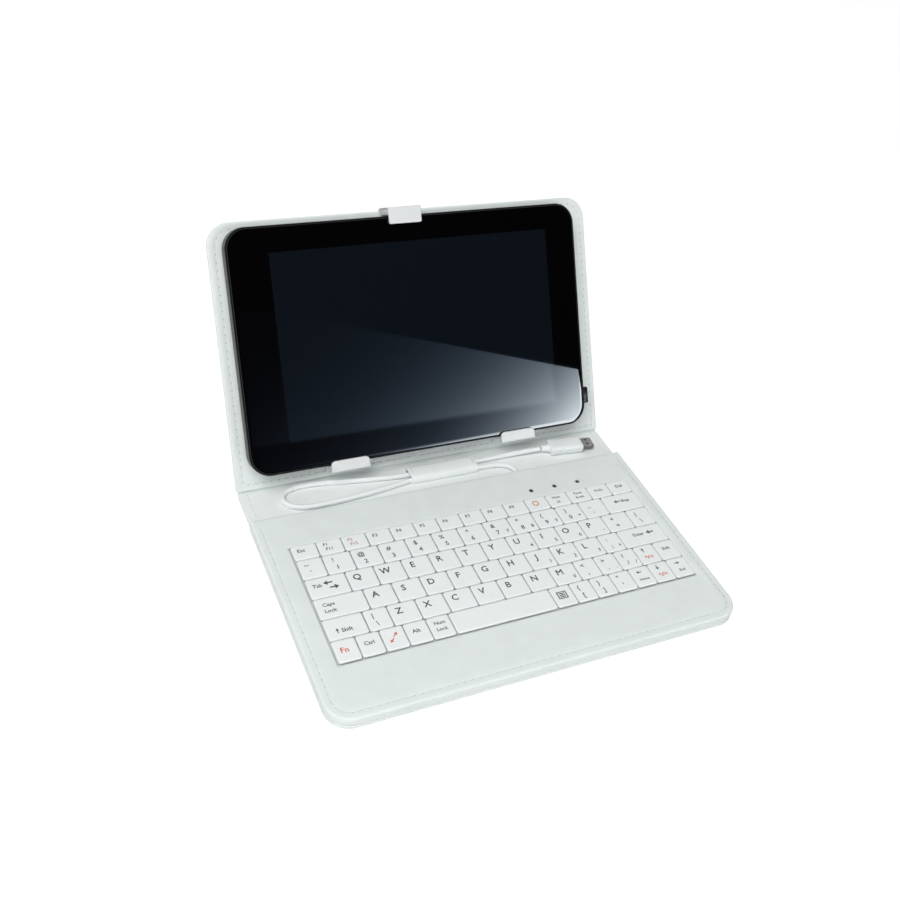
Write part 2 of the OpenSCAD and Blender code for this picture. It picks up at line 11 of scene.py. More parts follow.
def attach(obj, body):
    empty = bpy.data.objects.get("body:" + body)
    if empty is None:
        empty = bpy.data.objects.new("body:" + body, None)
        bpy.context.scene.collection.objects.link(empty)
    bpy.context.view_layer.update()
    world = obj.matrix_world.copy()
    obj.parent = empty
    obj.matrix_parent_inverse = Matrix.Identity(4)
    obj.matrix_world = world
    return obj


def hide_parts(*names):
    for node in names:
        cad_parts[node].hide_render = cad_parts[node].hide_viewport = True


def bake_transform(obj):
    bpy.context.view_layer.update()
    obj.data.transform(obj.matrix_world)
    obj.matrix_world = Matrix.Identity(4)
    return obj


bl_info = {
    "name": "Tablet keyboard case",
    "version": (1, 0, 0),
    "blender": (4, 5, 0),
    "location": "3D View > Sidebar > Keyboard case",
    "description": "Leather, keys, lead, holders, tablet and studio for the folding keyboard case",
    "category": "Add Mesh",
}

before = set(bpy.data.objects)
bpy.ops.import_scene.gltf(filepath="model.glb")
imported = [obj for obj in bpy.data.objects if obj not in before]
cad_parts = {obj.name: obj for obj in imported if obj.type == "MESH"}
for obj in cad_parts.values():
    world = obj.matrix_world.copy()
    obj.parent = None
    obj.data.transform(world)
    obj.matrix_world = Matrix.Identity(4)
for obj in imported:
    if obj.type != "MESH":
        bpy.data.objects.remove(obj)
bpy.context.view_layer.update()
MM = 0.001


# ---------- sizes and colours that a user would change ----------


def length(name, text, value):
    """One length setting, in metres."""
    return FloatProperty(name=name, description=text, default=value, min=0.0, unit="LENGTH",
            subtype="DISTANCE", precision=4)


def tint(name, text, value):
    """One colour setting, as linear red, green and blue."""
    return FloatVectorProperty(name=name, description=text, default=value, size=3, min=0.0, max=1.0,
            subtype="COLOR")


class KeycaseSizes(bpy.types.PropertyGroup):
    """Sizes of the leather parts and their sewing"""

    stitch_inset: length("Stitch inset", "Distance of the sewn line from the case's edge", 0.0036)
    stitch_pitch: length("Stitch pitch", "Distance from one stitch to the next", 0.004)
    stitch_length: length("Stitch length", "Length of the thread that shows in one stitch", 0.0027)
    thread: length("Thread", "Thickness of the sewing thread", 0.0005)
    cover_edge: length("Cover edge", "Radius of the padded cover's outer edge", 0.0011)
    key_corner: length("Key corner", "Radius of a key's corners seen from above", 0.0011)
    letter: length("Letter size", "Font size of a letter on a letter key", 0.0051)


class KeycaseColours(bpy.types.PropertyGroup):
    """Colours of the finishes"""

    leather: tint("Leather", "Coated fabric of the case's outside and padded cover", (0.765, 0.822, 0.808))
    lining: tint("Lining", "Coated fabric inside the lid and on the spine", (0.735, 0.786, 0.774))
    thread: tint("Thread", "Sewing thread", (0.74, 0.775, 0.76))
    keys: tint("Keys", "Keycaps", (0.85, 0.885, 0.88))
    ink: tint("Ink", "Letters on the keys", (0.085, 0.09, 0.095))
    red_ink: tint("Red ink", "Letters that go with the Fn key", (0.62, 0.13, 0.12))
    fittings: tint("Fittings", "Hooks and clip", (0.68, 0.70, 0.705))
    lead: tint("Lead", "Cable and plug", (0.84, 0.87, 0.87))
    # painted light: the strap and the spine's lining take a lighter copy of the lid's lining, to make up for the
    # shade that the lid and tablet cast over the spine
    strap: tint("Strap and spine", "Coated fabric of the strap and the spine's lining",
            (0.83, 0.868, 0.858))
    screen: tint("Screen", "Display seen through the glass", (0.004, 0.006, 0.009))


class KeycaseStudio(bpy.types.PropertyGroup):
    """Camera and lamps"""

    lens: FloatProperty(name="Lens", description="Focal length of the camera", default=44.816, min=10.0,
            unit="CAMERA")
    fill: FloatProperty(name="Fill", description="Strength of the even light from all round", default=0.29,
            min=0.0)
    key_power: FloatProperty(name="Key lamp", description="Power of the lamp above on the left",
            default=15.2, min=0.0)
    front_power: FloatProperty(name="Front lamp", description="Power of the low lamp in front of the case",
            default=2.8, min=0.0)
    rear_power: FloatProperty(name="Rear lamp", description="Power of the lamp behind the lid",
            default=6.5, min=0.0)


# ---------- places ----------


def turned(degrees, y, z):
    """A frame turned about X by some degrees and moved to (0, y, z), as a 4 by 4 of mm."""
    c, s = math.cos(math.radians(degrees)), math.sin(math.radians(degrees))
    return np.array([[1, 0, 0, 0], [0, c, -s, y], [0, s, c, z], [0, 0, 0, 1.0]])


FLAT = np.eye(4)
STAND = np.array([[1, 0, 0, 0], [0, 0, -1, 0], [0, 1, 0, 0], [0, 0, 0, 1.0]])
SIDE = np.array([[0, 0, 1, 0], [1, 0, 0, 0], [0, 1, 0, 0], [0, 0, 0, 1.0]])
LID = turned(-30, 88.8, 1.5)
LEG = LID @ turned(54, 3.1, 80)
# across the lid, up the lid, and out of its inner face
LID_FACE = LID @ STAND
LEG_FACE = LEG @ STAND
# a shelf on the lid: across, out of the inner face, and down the lid
LID_SHELF = LID_FACE @ STAND
# a plate on the tablet's right side: up the lid, out of its inner face, and across
LID_SIDE = LID_FACE @ SIDE
PLUG_TURN = math.radians(-5)
PLUG = np.array([[math.cos(PLUG_TURN), -math.sin(PLUG_TURN), 0, 79],
                 [math.sin(PLUG_TURN), math.cos(PLUG_TURN), 0, 77.4],
                 [0, 0, 1, 5.7], [0, 0, 0, 1.0]])
# rings across the plug's length: along Y, along Z, and towards the contacts
PLUG_RINGS = PLUG @ SIDE

CABLE_ROUTE = np.array([
    [42, 64, 4.1], [42, 66.4, 4.4], [41.2, 69.2, 4.4], [38.8, 71.6, 4.4],
    [35.4, 73.2, 4.4], [30, 74, 4.4], [22, 74.2, 4.4], [4, 74, 4.4],
    [-16, 74, 4.4], [-34, 71.2, 4.4], [-50, 69.3, 4.4], [-66, 68.4, 4.4],
    [-75.6, 68.6, 4.4], [-81.8, 70.4, 4.4], [-85.6, 73.8, 4.4], [-86.4, 77.8, 4.4],
    [-84.4, 81.4, 4.4], [-79.8, 83.8, 4.4], [-73.4, 84.6, 4.4], [-62, 83.9, 4.4],
    [-46, 81.5, 4.4], [-30, 79.4, 4.4], [-16, 78.4, 4.4], [4, 78.6, 4.4],
    [22, 79.3, 4.4], [36, 79.6, 4.5], [48, 79.5, 5], [57, 79, 5.5],
    [63.1, 78.7, 5.7]])
CABLE_D = 2.8

KEY_ROWS = [
    [191.6 / 15] * 15,
    [12.6] + [14.3] * 11 + [21.7],
    [20] + [14.3] * 10 + [15.2, 13.4],
    [24.5] + [14.3] * 9 + [12, 26.4],
    [19.5, 12] + [14.3] * 7 + [12] * 5,
    [11.5] * 5 + [53.6] + [11.5] * 7,
]
KEYS_X, KEYS_Y, ROW_D, REAR_D, KEY_GAP = -94.0, -34.4, 13.0, 10.0, 0.5
KEY_BOTTOM, KEY_TOP, DOME_TOP = 6.5, 7.6, 4.6

KEY_NODES = {
    "key_escape": [(0, 0)], "function_keys": [(0, i) for i in range(1, 10)],
    "lock_keys": [(0, i) for i in range(10, 14)], "key_delete": [(0, 14)],
    "number_row_keys": [(1, i) for i in range(12)], "key_backspace": [(1, 12)],
    "key_tab": [(2, 0)], "letter_keys_q_to_p": [(2, i) for i in range(1, 11)],
    "symbol_keys": [(2, 11), (2, 12), (3, 10), (4, 1), (4, 9), (4, 10), (4, 11), (5, 7), (5, 8), (5, 9)],
    "key_caps_lock": [(3, 0)], "letter_keys_a_to_l": [(3, i) for i in range(1, 10)],
    "key_enter": [(3, 11)], "key_shift_left": [(4, 0)],
    "letter_keys_z_to_m": [(4, i) for i in range(2, 9)], "key_arrow_up": [(4, 12)],
    "key_shift_right": [(4, 13)], "key_fn": [(5, 0)], "key_control": [(5, 1)],
    "system_keys": [(5, 2), (5, 4), (5, 6)], "key_alternate": [(5, 3)], "key_space": [(5, 5)],
    "key_arrow_left": [(5, 10)], "key_arrow_down": [(5, 11)], "key_arrow_right": [(5, 12)],
}

# what each key says, row by row from the rear; a second word after a space stands at the lower right
KEY_WORDS = [
    ["", "F1\nF11", "F2\nF12", "F3", "F4", "F5", "F6", "F7", "F8", "F9", "", "", "", "", ""],
    ["~\n`", "!\n1", "@\n2", "#\n3", "$\n4", "%\n5", "^\n6", "&\n7 7", "*\n8 8", "(\n9 9", ")\n0 *", "_\n-", ""],
    ["", "Q", "W", "E", "R", "T", "Y", "U 4", "I 5", "O 6", "P -", "+\n=", "|\n\\"],
    ["", "A", "S", "D", "F", "G", "H", "J 1", "K 2", "L 3", ":\n; +", ""],
    ["", "|\n\\", "Z", "X", "C", "V", "B", "N", "M 0", "<\n,", ">\n. .", "?\n/ /", "", ""],
    ["", "", "", "", "", "", "", "{\n[", "}\n]", "\"\n'", "", "", ""],
]
# words and signs that stand elsewhere: text, shares of the key from its left and its rear, size and ink
KEY_SIGNS = {
    (0, 0): [("Esc", 0.36, 0.38, 0.6)],
    (0, 10): [("RING", 0.42, 0.45, 1, "_orange")],
    (0, 11): [("Num", 0.45, 0.3, 0.46), ("Lk", 0.45, 0.66, 0.46)],
    (0, 12): [("Pause", 0.5, 0.3, 0.42), ("Break", 0.5, 0.64, 0.42)],
    (0, 13): [("PrtSc", 0.5, 0.42, 0.48)],
    (0, 14): [("Del", 0.5, 0.42, 0.6)],
    (1, 12): [("LEFT", 0.36, 0.42, 0.75), ("Bksp", 0.6, 0.42, 0.52)],
    (2, 0): [("Tab", 0.24, 0.4, 0.6), ("LEFT", 0.52, 0.34, 0.9), ("RIGHT", 0.64, 0.6, 0.9)],
    (3, 0): [("Caps", 0.26, 0.34, 0.58), ("Lock", 0.26, 0.65, 0.58)],
    (3, 11): [("Enter", 0.42, 0.4, 0.58), ("LEFT", 0.69, 0.4, 0.9)],
    (4, 0): [("UP", 0.27, 0.62, 0.55), ("Shift", 0.51, 0.64, 0.6)],
    (4, 13): [("Shift", 0.48, 0.42, 0.52)],
    (4, 12): [("UP", 0.38, 0.26, 0.58), ("PgUp", 0.5, 0.64, 0.46, "_red")],
    (5, 0): [("Fn", 0.42, 0.48, 0.84, "_red")],
    (5, 1): [("Ctrl", 0.45, 0.44, 0.6)],
    (5, 2): [("SLANT DOWN", 0.36, 0.6, 0.62, "_red"), ("SLANT UP", 0.58, 0.36, 0.62, "_red")],
    (5, 3): [("Alt", 0.44, 0.42, 0.62)],
    (5, 4): [("Num", 0.5, 0.32, 0.54), ("Lock", 0.5, 0.62, 0.54)],
    (5, 6): [("MENU", 0.46, 0.46, 1)],
    (5, 10): [("LEFT", 0.42, 0.28, 0.58), ("Home", 0.5, 0.66, 0.44)],
    (5, 11): [("DOWN", 0.4, 0.26, 0.58), ("PgDn", 0.5, 0.64, 0.46, "_red")],
    (5, 12): [("RIGHT", 0.45, 0.28, 0.58), ("End", 0.5, 0.66, 0.46)],
}
ARROW_TURNS = {"UP": 0, "LEFT": 90, "DOWN": 180, "RIGHT": -90, "SLANT UP": -45, "SLANT DOWN": 135}
SIGNS = {*ARROW_TURNS, "RING", "MENU"}
PINK_KEY = (0, 2)


# ---------- shapes ----------


def placed(part, place):
    """The part with its points carried into the row frame: each point times the place's turn, plus its
    shift."""
    points, faces = part
    return np.asarray(points) @ place[:3, :3].T + place[:3, 3], faces


def loft(rings, wrap=False, caps=True):
    """Skins a stack of rings, each anticlockwise seen from the stack's far end: a quad joins two
    neighbouring points of a ring to the same two of the next ring, the last ring joins the first if wrap,
    and else a flat face closes each end."""
    rings = np.asarray(rings, float)
    m, n = rings.shape[:2]
    i = np.arange(m if wrap else m - 1)[:, None] * n
    j = np.arange(n)[None, :]
    k = (j + 1) % n
    up = (i + n) % (m * n)
    faces = np.stack(np.broadcast_arrays(i + j, i + k, up + k, up + j), -1).reshape(-1, 4).tolist()
    if caps and not wrap:
        faces += [list(range(n))[::-1], list(range((m - 1) * n, m * n))]
    return rings.reshape(-1, 3), faces


def rounded(x, y, radii, inset=0.0, cuts=6, sides=(10, 16, 10, 16), back_at=None):
    """A rounded rectangle as one anticlockwise line: quarter circles about the four corner centres, front
    right first, and evenly spaced points between them. The inset draws every side in and is taken from
    every radius. back_at gives the X of the back side's own points instead."""
    x0, x1, y0, y1 = x[0] + inset, x[1] - inset, y[0] + inset, y[1] - inset
    fl, fr, br, bl = np.maximum(np.array(radii, float) - inset, 0.02)
    centres = np.array([(x1 - fr, y0 + fr), (x1 - br, y1 - br), (x0 + bl, y1 - bl), (x0 + fl, y0 + fl)])
    angles = np.radians([-90, 0, 90, 180])[:, None] + np.linspace(0, math.pi / 2, cuts + 1)
    turns = np.stack([np.cos(angles), np.sin(angles)], -1)
    arcs = centres[:, None] + np.array([fr, br, bl, fl])[:, None, None] * turns
    line = []
    for k in range(4):
        a, b = arcs[k][-1], arcs[(k + 1) % 4][0]
        if k == 1 and back_at is not None:
            between = np.column_stack([back_at, np.full(len(back_at), a[1])])
        else:
            between = a + (b - a) * np.linspace(0, 1, sides[k] + 1)[1:-1, None]
        line += [arcs[k], between]
    return np.concatenate(line)


def edge_profile(low, high, edge, cuts=4):
    """(inset, height) pairs from the middle of the underside round to the middle of the top: a quarter
    circle of the edge's radius below, and one above."""
    t = np.linspace(0, math.pi / 2, cuts + 1)
    lower = np.column_stack([edge * (1 - np.sin(t)), low + edge * (1 - np.cos(t))])
    upper = np.column_stack([edge * (1 - np.cos(t)), high - edge * (1 - np.sin(t))])
    return np.concatenate([lower, upper])


def groove(at, level, depth, half=0.7):
    """(inset, height) pairs across a sewn groove: a cosine dip of some depth about one inset."""
    t = np.linspace(-1, 1, 7)
    return np.column_stack([at + half * t, level - depth * 0.5 * (1 + np.cos(math.pi * t))])


def stack(outline, profile):
    """Rings of an outline, one for each (inset, height) pair."""
    return np.array([np.column_stack([outline(i), np.full(len(outline(i)), h)]) for i, h in profile])


def slab(x, y, z, place=FLAT, radii=(1, 1, 1, 1), edge=0.3, sewn=(), under=(), cuts=6,
        sides=(10, 16, 10, 16), crown=0.0):
    """A plate with rounded corners and edges, between two X, two Y and two Z of its place; sewn and under
    give (inset, depth) of grooves in its top and underside, and crown lifts its middle by a cosine."""
    outline = lambda i: rounded(x, y, radii, i, cuts, sides)
    body = edge_profile(z[0], z[1], edge)
    reach = min(x[1] - x[0], y[1] - y[0]) / 2
    deep = min(edge + 0.6, reach * 0.8)
    start, end = [(deep, z[0])], [(deep, z[1])]
    for at, depth in under:
        start = [(at + 1.4, z[0])] + groove(at, z[0], -depth)[::-1].tolist()
    for at, depth in sewn:
        end = groove(at, z[1], depth).tolist() + [(at + 1.4, z[1])]
    rings = stack(outline, np.concatenate([start, body, end]))
    if crown:
        mid = np.array([(x[0] + x[1]) / 2, (y[0] + y[1]) / 2])
        half = np.array([(x[1] - x[0]) / 2, (y[1] - y[0]) / 2])
        inner = np.linspace(0.0, 1.0, 5)[1:]
        last = rings[-1]
        more = [np.column_stack([last[:, :2] + (mid - last[:, :2]) * t * 0.92, last[:, 2]]) for t in inner]
        rings = np.concatenate([rings, more])
        at = np.abs(rings[:, :, :2] - mid) / half
        top = rings[:, :, 2] > (z[0] + z[1]) / 2
        rings[:, :, 2] += np.where(top, crown * np.prod(np.cos(at * math.pi / 2), -1), 0)
    return placed(loft(rings), place)


def sweep(section, xs, drift=None, ends=0.25):
    """A strip along X: the same closed anticlockwise line of (Y, Z) at every X, shrunk a little towards its
    middle at both ends so that they are rounded. drift gives (Y, Z) shifts for an X and the section."""
    section = np.asarray(section, float)
    mid = section.mean(0)
    xs = np.concatenate([[xs[0]], [xs[0] + ends * 0.3, xs[0] + ends], xs[1:-1],
            [xs[-1] - ends, xs[-1] - ends * 0.3], [xs[-1]]])
    gap = np.minimum(xs - xs[0], xs[-1] - xs) / ends
    pull = ends * (1 - np.sqrt(np.clip(gap * (2 - gap), 0, 1))) * (gap < 1)
    toward = mid - section
    toward = toward / np.maximum(np.linalg.norm(toward, axis=1, keepdims=True), 1e-9)
    rings = []
    for x, p in zip(xs, pull):
        yz = section + toward * np.minimum(p, np.linalg.norm(mid - section, axis=1, keepdims=True) * 0.6)
        if drift is not None:
            yz = yz + drift(x, section)
        rings.append(np.column_stack([np.full(len(yz), x), yz]))
    return loft(rings)


def ribbon(path, thick):
    """The closed line round a ribbon's cut edge: its path moved half the thickness to the right, and back
    along its left, so that it runs anticlockwise."""
    path = np.asarray(path, float)
    step = np.gradient(path, axis=0)
    step = step / np.linalg.norm(step, axis=1, keepdims=True)
    right = np.column_stack([step[:, 1], -step[:, 0]]) * thick / 2
    nose = step[[0, -1]] * thick * 0.25
    return np.concatenate([path + right, [path[-1] + nose[1]], (path - right)[::-1], [path[0] - nose[0]]])


def smooth_line(points, step):
    """A curve through the points, Catmull-Rom's cubic between each two, cut into equal steps of length."""
    p = np.asarray(points, float)
    ends = np.concatenate([p[:1], p, p[-1:]])
    t = np.linspace(0, 1, 24, endpoint=False)[None, :, None]
    a, b, c, d = (ends[k:len(ends) - 3 + k][:, None] for k in range(4))
    fine = 0.5 * (2 * b + (c - a) * t + (2 * a - 5 * b + 4 * c - d) * t**2 + (3 * b - a - 3 * c + d) * t**3)
    fine = np.concatenate([fine.reshape(-1, p.shape[1]), p[-1:]])
    return spaced(fine, step, closed=False)


def spaced(line, step, closed=True):
    """Points at equal distances along a line, by its running length."""
    line = np.asarray(line, float)
    if closed:
        line = np.concatenate([line, line[:1]])
    run = np.concatenate([[0], np.cumsum(np.linalg.norm(np.diff(line, axis=0), axis=1))])
    count = max(2, round(run[-1] / step))
    at = np.linspace(0, run[-1], count + 1)
    if closed:
        at = at[:-1]
    return np.column_stack([np.interp(at, run, line[:, k]) for k in range(line.shape[1])])


def tube(path, radius, sides=12):
    """A round cord along a path: each ring is the radius times cosine upwards plus sine sideways, across
    the path's direction. The radius may change along it."""
    along = np.gradient(path, axis=0)
    along = along / np.linalg.norm(along, axis=1, keepdims=True)
    across = np.cross(along, (0, 0, 1.0))
    across = across / np.linalg.norm(across, axis=1, keepdims=True)
    up = np.cross(across, along)
    turn = np.linspace(0, 2 * math.pi, sides, endpoint=False)[None, :, None]
    r = np.broadcast_to(np.asarray(radius, float), (len(path),))[:, None, None]
    return loft(path[:, None] + r * (np.cos(turn) * up[:, None] + np.sin(turn) * across[:, None]))


def dome(x, y, profile, sides=24):
    """A turned piece about an upright axis: rings of each (radius, height) pair, closed by flat faces."""
    turn = np.linspace(0, 2 * math.pi, sides, endpoint=False)
    return loft([np.column_stack([x + r * np.cos(turn), y + r * np.sin(turn), np.full(sides, h)]) for r,
            h in profile])


def stitches(line, closed=True, place=FLAT, flip=False, hole=False):
    """Short threads along a line of (X, Y, Z), or the needle holes between them: each is a six-sided
    capsule whose ends dip into the material, its rings its radius times a rounded bulge. A hole's capsule
    lies 0.6 of its radius lower and is drawn dark, as painted shade inside the hole."""
    s = bpy.context.scene.keycase_sizes
    pitch, long, thick = s.stitch_pitch / MM, s.stitch_length / MM, s.thread / MM
    line = np.asarray(line, float)
    if closed:
        line = np.concatenate([line, line[:1]])
    fine = spaced(line, pitch, closed=False)
    centre = (fine[1:] + fine[:-1]) / 2
    # a needle hole: a dark capsule, sunk a little, whose colour is painted shade inside the hole
    if hole:
        long, thick = 1.3, 0.85
        centre = fine[1:] - (0, 0, 0.28 * thick * (-1 if flip else 1))
    along = fine[1:] - fine[:-1]
    along = along / np.linalg.norm(along, axis=1, keepdims=True)
    out = np.array([0, 0, -1.0 if flip else 1.0])
    across = np.cross(along, out)
    across = across / np.linalg.norm(across, axis=1, keepdims=True)
    up = np.cross(across, along)
    t = np.array([-1, -0.8, -0.35, 0.35, 0.8, 1])
    bulge = thick / 2 * np.array([0.35, 0.8, 1, 1, 0.8, 0.35])
    dip = -thick * 0.55 * np.abs(t) ** 3
    turn = np.linspace(0, 2 * math.pi, 6, endpoint=False)
    m, k, n = len(centre), len(t), 6
    spine = centre[:, None] + along[:, None] * (t * long / 2)[:, None] + up[:, None] * dip[:, None]
    wheel = np.cos(turn)[:, None] * up[:, None, None]
    wheel = wheel + 1.15 * np.sin(turn)[:, None] * across[:, None, None]
    rings = spine[:, :, None] + bulge[:, None, None] * wheel
    one = np.array(loft(np.zeros((k, n, 3)), caps=False)[1])
    faces = (one[None] + (np.arange(m) * k * n)[:, None, None]).reshape(-1, 4).tolist()
    first = (np.arange(m) * k * n)[:, None] + np.arange(n)[::-1][None]
    last = (np.arange(m) * k * n)[:, None] + (k - 1) * n + np.arange(n)[None]
    return placed((rings.reshape(-1, 3), faces + first.tolist() + last.tolist()), place)


def raised(points, low, high):
    """A flat shape given thickness: the same anticlockwise line at two heights, with walls between them and
    a face at each end."""
    points = np.asarray(points, float)
    return loft([np.column_stack([points, np.full(len(points), h)]) for h in (low, high)])


GLYPHS = {}


def letters(word):
    """One line of letters at size one from Blender's own font, as points and faces of a thin solid."""
    if word not in GLYPHS:
        curve = bpy.data.curves.new("letters", "FONT")
        curve.body, curve.size, curve.extrude, curve.resolution_u = word, 1.0, 0.5, 2
        curve.bevel_depth, curve.bevel_resolution = 0.018, 0
        text = bpy.data.objects.new("letters", curve)
        bpy.context.scene.collection.objects.link(text)
        bpy.context.view_layer.update()
        mesh = bpy.data.meshes.new_from_object(text.evaluated_get(bpy.context.evaluated_depsgraph_get()))
        points = np.zeros(len(mesh.vertices) * 3)
        mesh.vertices.foreach_get("co", points)
        GLYPHS[word] = (points.reshape(-1, 3), [list(p.vertices) for p in mesh.polygons])
        bpy.data.objects.remove(text)
        bpy.data.curves.remove(curve)
        bpy.data.meshes.remove(mesh)
    return GLYPHS[word]


def printed(word, x, y, size):
    """A word as thin raised print on a keycap's top: its middle at X, and its capitals' middle at Y, which
    lies 0.36 of the size above the baseline."""
    points, faces = letters(word)
    middle = (points[:, 0].min() + points[:, 0].max()) / 2
    return [(np.column_stack([(points[:, 0] - middle) * size + x, (points[:, 1] - 0.36) * size + y,
            KEY_TOP + 0.01 + 0.025 * np.sign(points[:, 2])]), faces)]


def inked(points):
    """A flat anticlockwise line as thin raised print on a keycap's top."""
    return raised(points, KEY_TOP - 0.015, KEY_TOP + 0.035)


ARROW = np.array([[-0.09, -0.5], [0.09, -0.5], [0.09, 0.05], [0.32, 0.05], [0, 0.5], [-0.32, 0.05],
        [-0.09, 0.05]])


def sign(kind, x, y, size):
    """One sign of thin raised print, its middle at (X, Y): an arrow turned from up, a ring, or a list in a
    frame."""
    if kind in ARROW_TURNS:
        turn = math.radians(ARROW_TURNS[kind])
        c, s = math.cos(turn), math.sin(turn)
        return [inked(ARROW @ np.array([[c, s], [-s, c]]) * size + (x, y))]
    if kind == "RING":
        turn = np.linspace(0, 2 * math.pi, 28, endpoint=False)
        ring = lambda r, h: np.column_stack([x + r * np.cos(turn), y + r * np.sin(turn), np.full(28, h)])
        return [loft([ring(1.2, KEY_TOP - 0.015), ring(1.9, KEY_TOP - 0.015), ring(1.9, KEY_TOP + 0.035),
                ring(1.2, KEY_TOP + 0.035)], wrap=True)]
    bar = lambda a, b, c, d: inked(np.array([[a, c], [b, c], [b, d], [a, d]]) + (x, y))
    return [bar(-2.6, 2.6, 1.75, 2.3), bar(-2.6, 2.6, -2.3, -1.75), bar(-2.6, -2.0, -1.75, 1.75),
            bar(2.0, 2.6, -1.75, 1.75)] + [bar(-1.5, 1.5, h, h + 0.6) for h in (-1.3, -0.3, 0.7)]


# ---------- finishes ----------


class Nodes:
    """A tree of nodes, and a short way to add one"""

    def __init__(self, owner, keep=False):
        owner.use_nodes = True
        self.nodes, self.links = owner.node_tree.nodes, owner.node_tree.links
        if not keep:
            self.nodes.clear()

    def node(self, kind, inputs=None, **settings):
        """A node of some kind: sockets in inputs are linked, and values set"""
        made = self.nodes.new(kind)
        for key, value in settings.items():
            setattr(made, key, value)
        for key, value in (inputs or {}).items():
            if isinstance(value, bpy.types.NodeSocket):
                self.links.new(value, made.inputs[key])
            else:
                made.inputs[key].default_value = value
        return made

    def math(self, operation, *values):
        """One sum, difference or the like of sockets and numbers"""
        return self.node("ShaderNodeMath", dict(enumerate(values)), operation=operation).outputs["Value"]


class Finish(Nodes):
    """A material made of nodes, with the object's own coordinates to hand"""

    def __init__(self, name):
        self.material = bpy.data.materials.new(name)
        super().__init__(self.material, keep=True)
        self.shader = self.nodes["Principled BSDF"]
        self.place = self.nodes.new("ShaderNodeTexCoord").outputs["Object"]

    def noise(self, size_mm, detail=2.0, roughness=0.5, at=None):
        """Clouds whose lumps are about size_mm across"""
        return self.node("ShaderNodeTexNoise", {"Vector": at or self.place, "Scale": 1000 / size_mm,
                "Detail": detail, "Roughness": roughness}).outputs["Fac"]

    def ramp(self, value, low, high, to_low, to_high):
        """value from low..high carried to to_low..to_high"""
        return self.node("ShaderNodeMapRange", {"Value": value, "From Min": low, "From Max": high,
                "To Min": to_low, "To Max": to_high}).outputs["Result"]

    def mix(self, factor, a, b):
        """Colour a where the factor is 0, b where it is 1"""
        made = self.node("ShaderNodeMix", data_type="RGBA")
        ins = {"Factor": made.inputs[0], "A": made.inputs[6], "B": made.inputs[7]}
        for key, value in (("Factor", factor), ("A", a), ("B", b)):
            if isinstance(value, bpy.types.NodeSocket):
                self.links.new(value, ins[key])
            else:
                ins[key].default_value = value if key == "Factor" else (*tuple(value)[:3], 1.0)
        return made.outputs[2]

    def base(self, colour, rough, spread=0.03, size_mm=9.0, rough_spread=0.05):
        """A colour that drifts a little lighter and darker, and a roughness that drifts with finer
        clouds"""
        cloud = self.ramp(self.noise(size_mm, 3.0), 0.3, 0.7, 0.0, 1.0)
        dark = [c * (1 - spread) for c in colour]
        light = [min(1.0, c * (1 + spread)) for c in colour]
        self.colour = self.mix(cloud, dark, light)
        self.links.new(self.colour, self.shader.inputs["Base Color"])
        fine = self.noise(size_mm * 0.23, 2.0)
        self.links.new(self.ramp(fine, 0.3, 0.7, rough - rough_spread, rough + rough_spread),
                self.shader.inputs["Roughness"])
        return self

    def recolour(self, factor, colour):
        """The colour so far, with another laid over it by a factor"""
        self.colour = self.mix(factor, self.colour, colour)
        self.links.new(self.colour, self.shader.inputs["Base Color"])
        return self

    def bumps(self, height, depth_mm, strength=1.0):
        """Relief of some depth from a height of 0 to 1"""
        made = self.node("ShaderNodeBump", {"Height": height, "Distance": depth_mm * MM,
                "Strength": strength})
        self.links.new(made.outputs["Normal"], self.shader.inputs["Normal"])
        return self

    def set(self, **values):
        for key, value in values.items():
            self.shader.inputs[key.replace("_", " ")].default_value = value
        return self


def make_leather(name, colour, pebble=0.9, depth=0.035):
    """Coated fabric: pebbled cells with fine creases between them, the creases a little darker as painted shade,
    soft mottling and a low sheen
    """
    f = Finish(name).base(colour, 0.52, 0.022, 11.0, 0.06)
    wobble = f.node("ShaderNodeTexNoise", {"Vector": f.place, "Scale": 700.0, "Detail": 1.0})
    small = f.node("ShaderNodeVectorMath", {0: wobble.outputs["Color"], "Scale": 0.6 * MM},
            operation="SCALE")
    drift = f.node("ShaderNodeVectorMath", {0: f.place, 1: small.outputs["Vector"]}, operation="ADD")
    cells = f.node("ShaderNodeTexVoronoi", {"Vector": drift.outputs["Vector"], "Scale": 1000 / pebble},
            feature="DISTANCE_TO_EDGE")
    crease = f.ramp(cells.outputs["Distance"], 0.0, 0.22, 0.0, 1.0)
    pores = f.noise(0.35, 2.0)
    height = f.math("MULTIPLY_ADD", pores, pores, crease)
    # painted shade: up to a tenth of a darker copy of the colour is laid into the creases between the cells
    f.recolour(f.ramp(crease, 0.0, 1.0, 0.10, 0.0), [c * 0.80 for c in colour])
    return f.bumps(height, depth, 0.55).set(Specular_IOR_Level=0.45).material


def make_plastic(name, colour, rough=0.42, grain=0.12, depth=0.01, spread=0.012, metal=0.0, coat=0.0,
        gloss=0.5):
    """Moulded plastic or metal: an even colour with a faint drift and a fine texture from the tool"""
    f = Finish(name).base(colour, rough, spread, 6.0, min(0.06, rough * 0.5))
    return f.bumps(f.noise(grain, 2.0), depth, 0.4).set(Metallic=metal, Coat_Weight=coat,
            Specular_IOR_Level=gloss).material


def make_thread(name, colour):
    """Twisted thread: slanted ribs across it and fuzzy mottling"""
    f = Finish(name).base(colour, 0.75, 0.06, 1.5, 0.05)
    wave = f.node("ShaderNodeTexWave", {"Vector": f.place, "Scale": 900.0, "Distortion": 1.0},
            bands_direction="DIAGONAL")
    return f.bumps(wave.outputs["Fac"], 0.05, 0.7).material


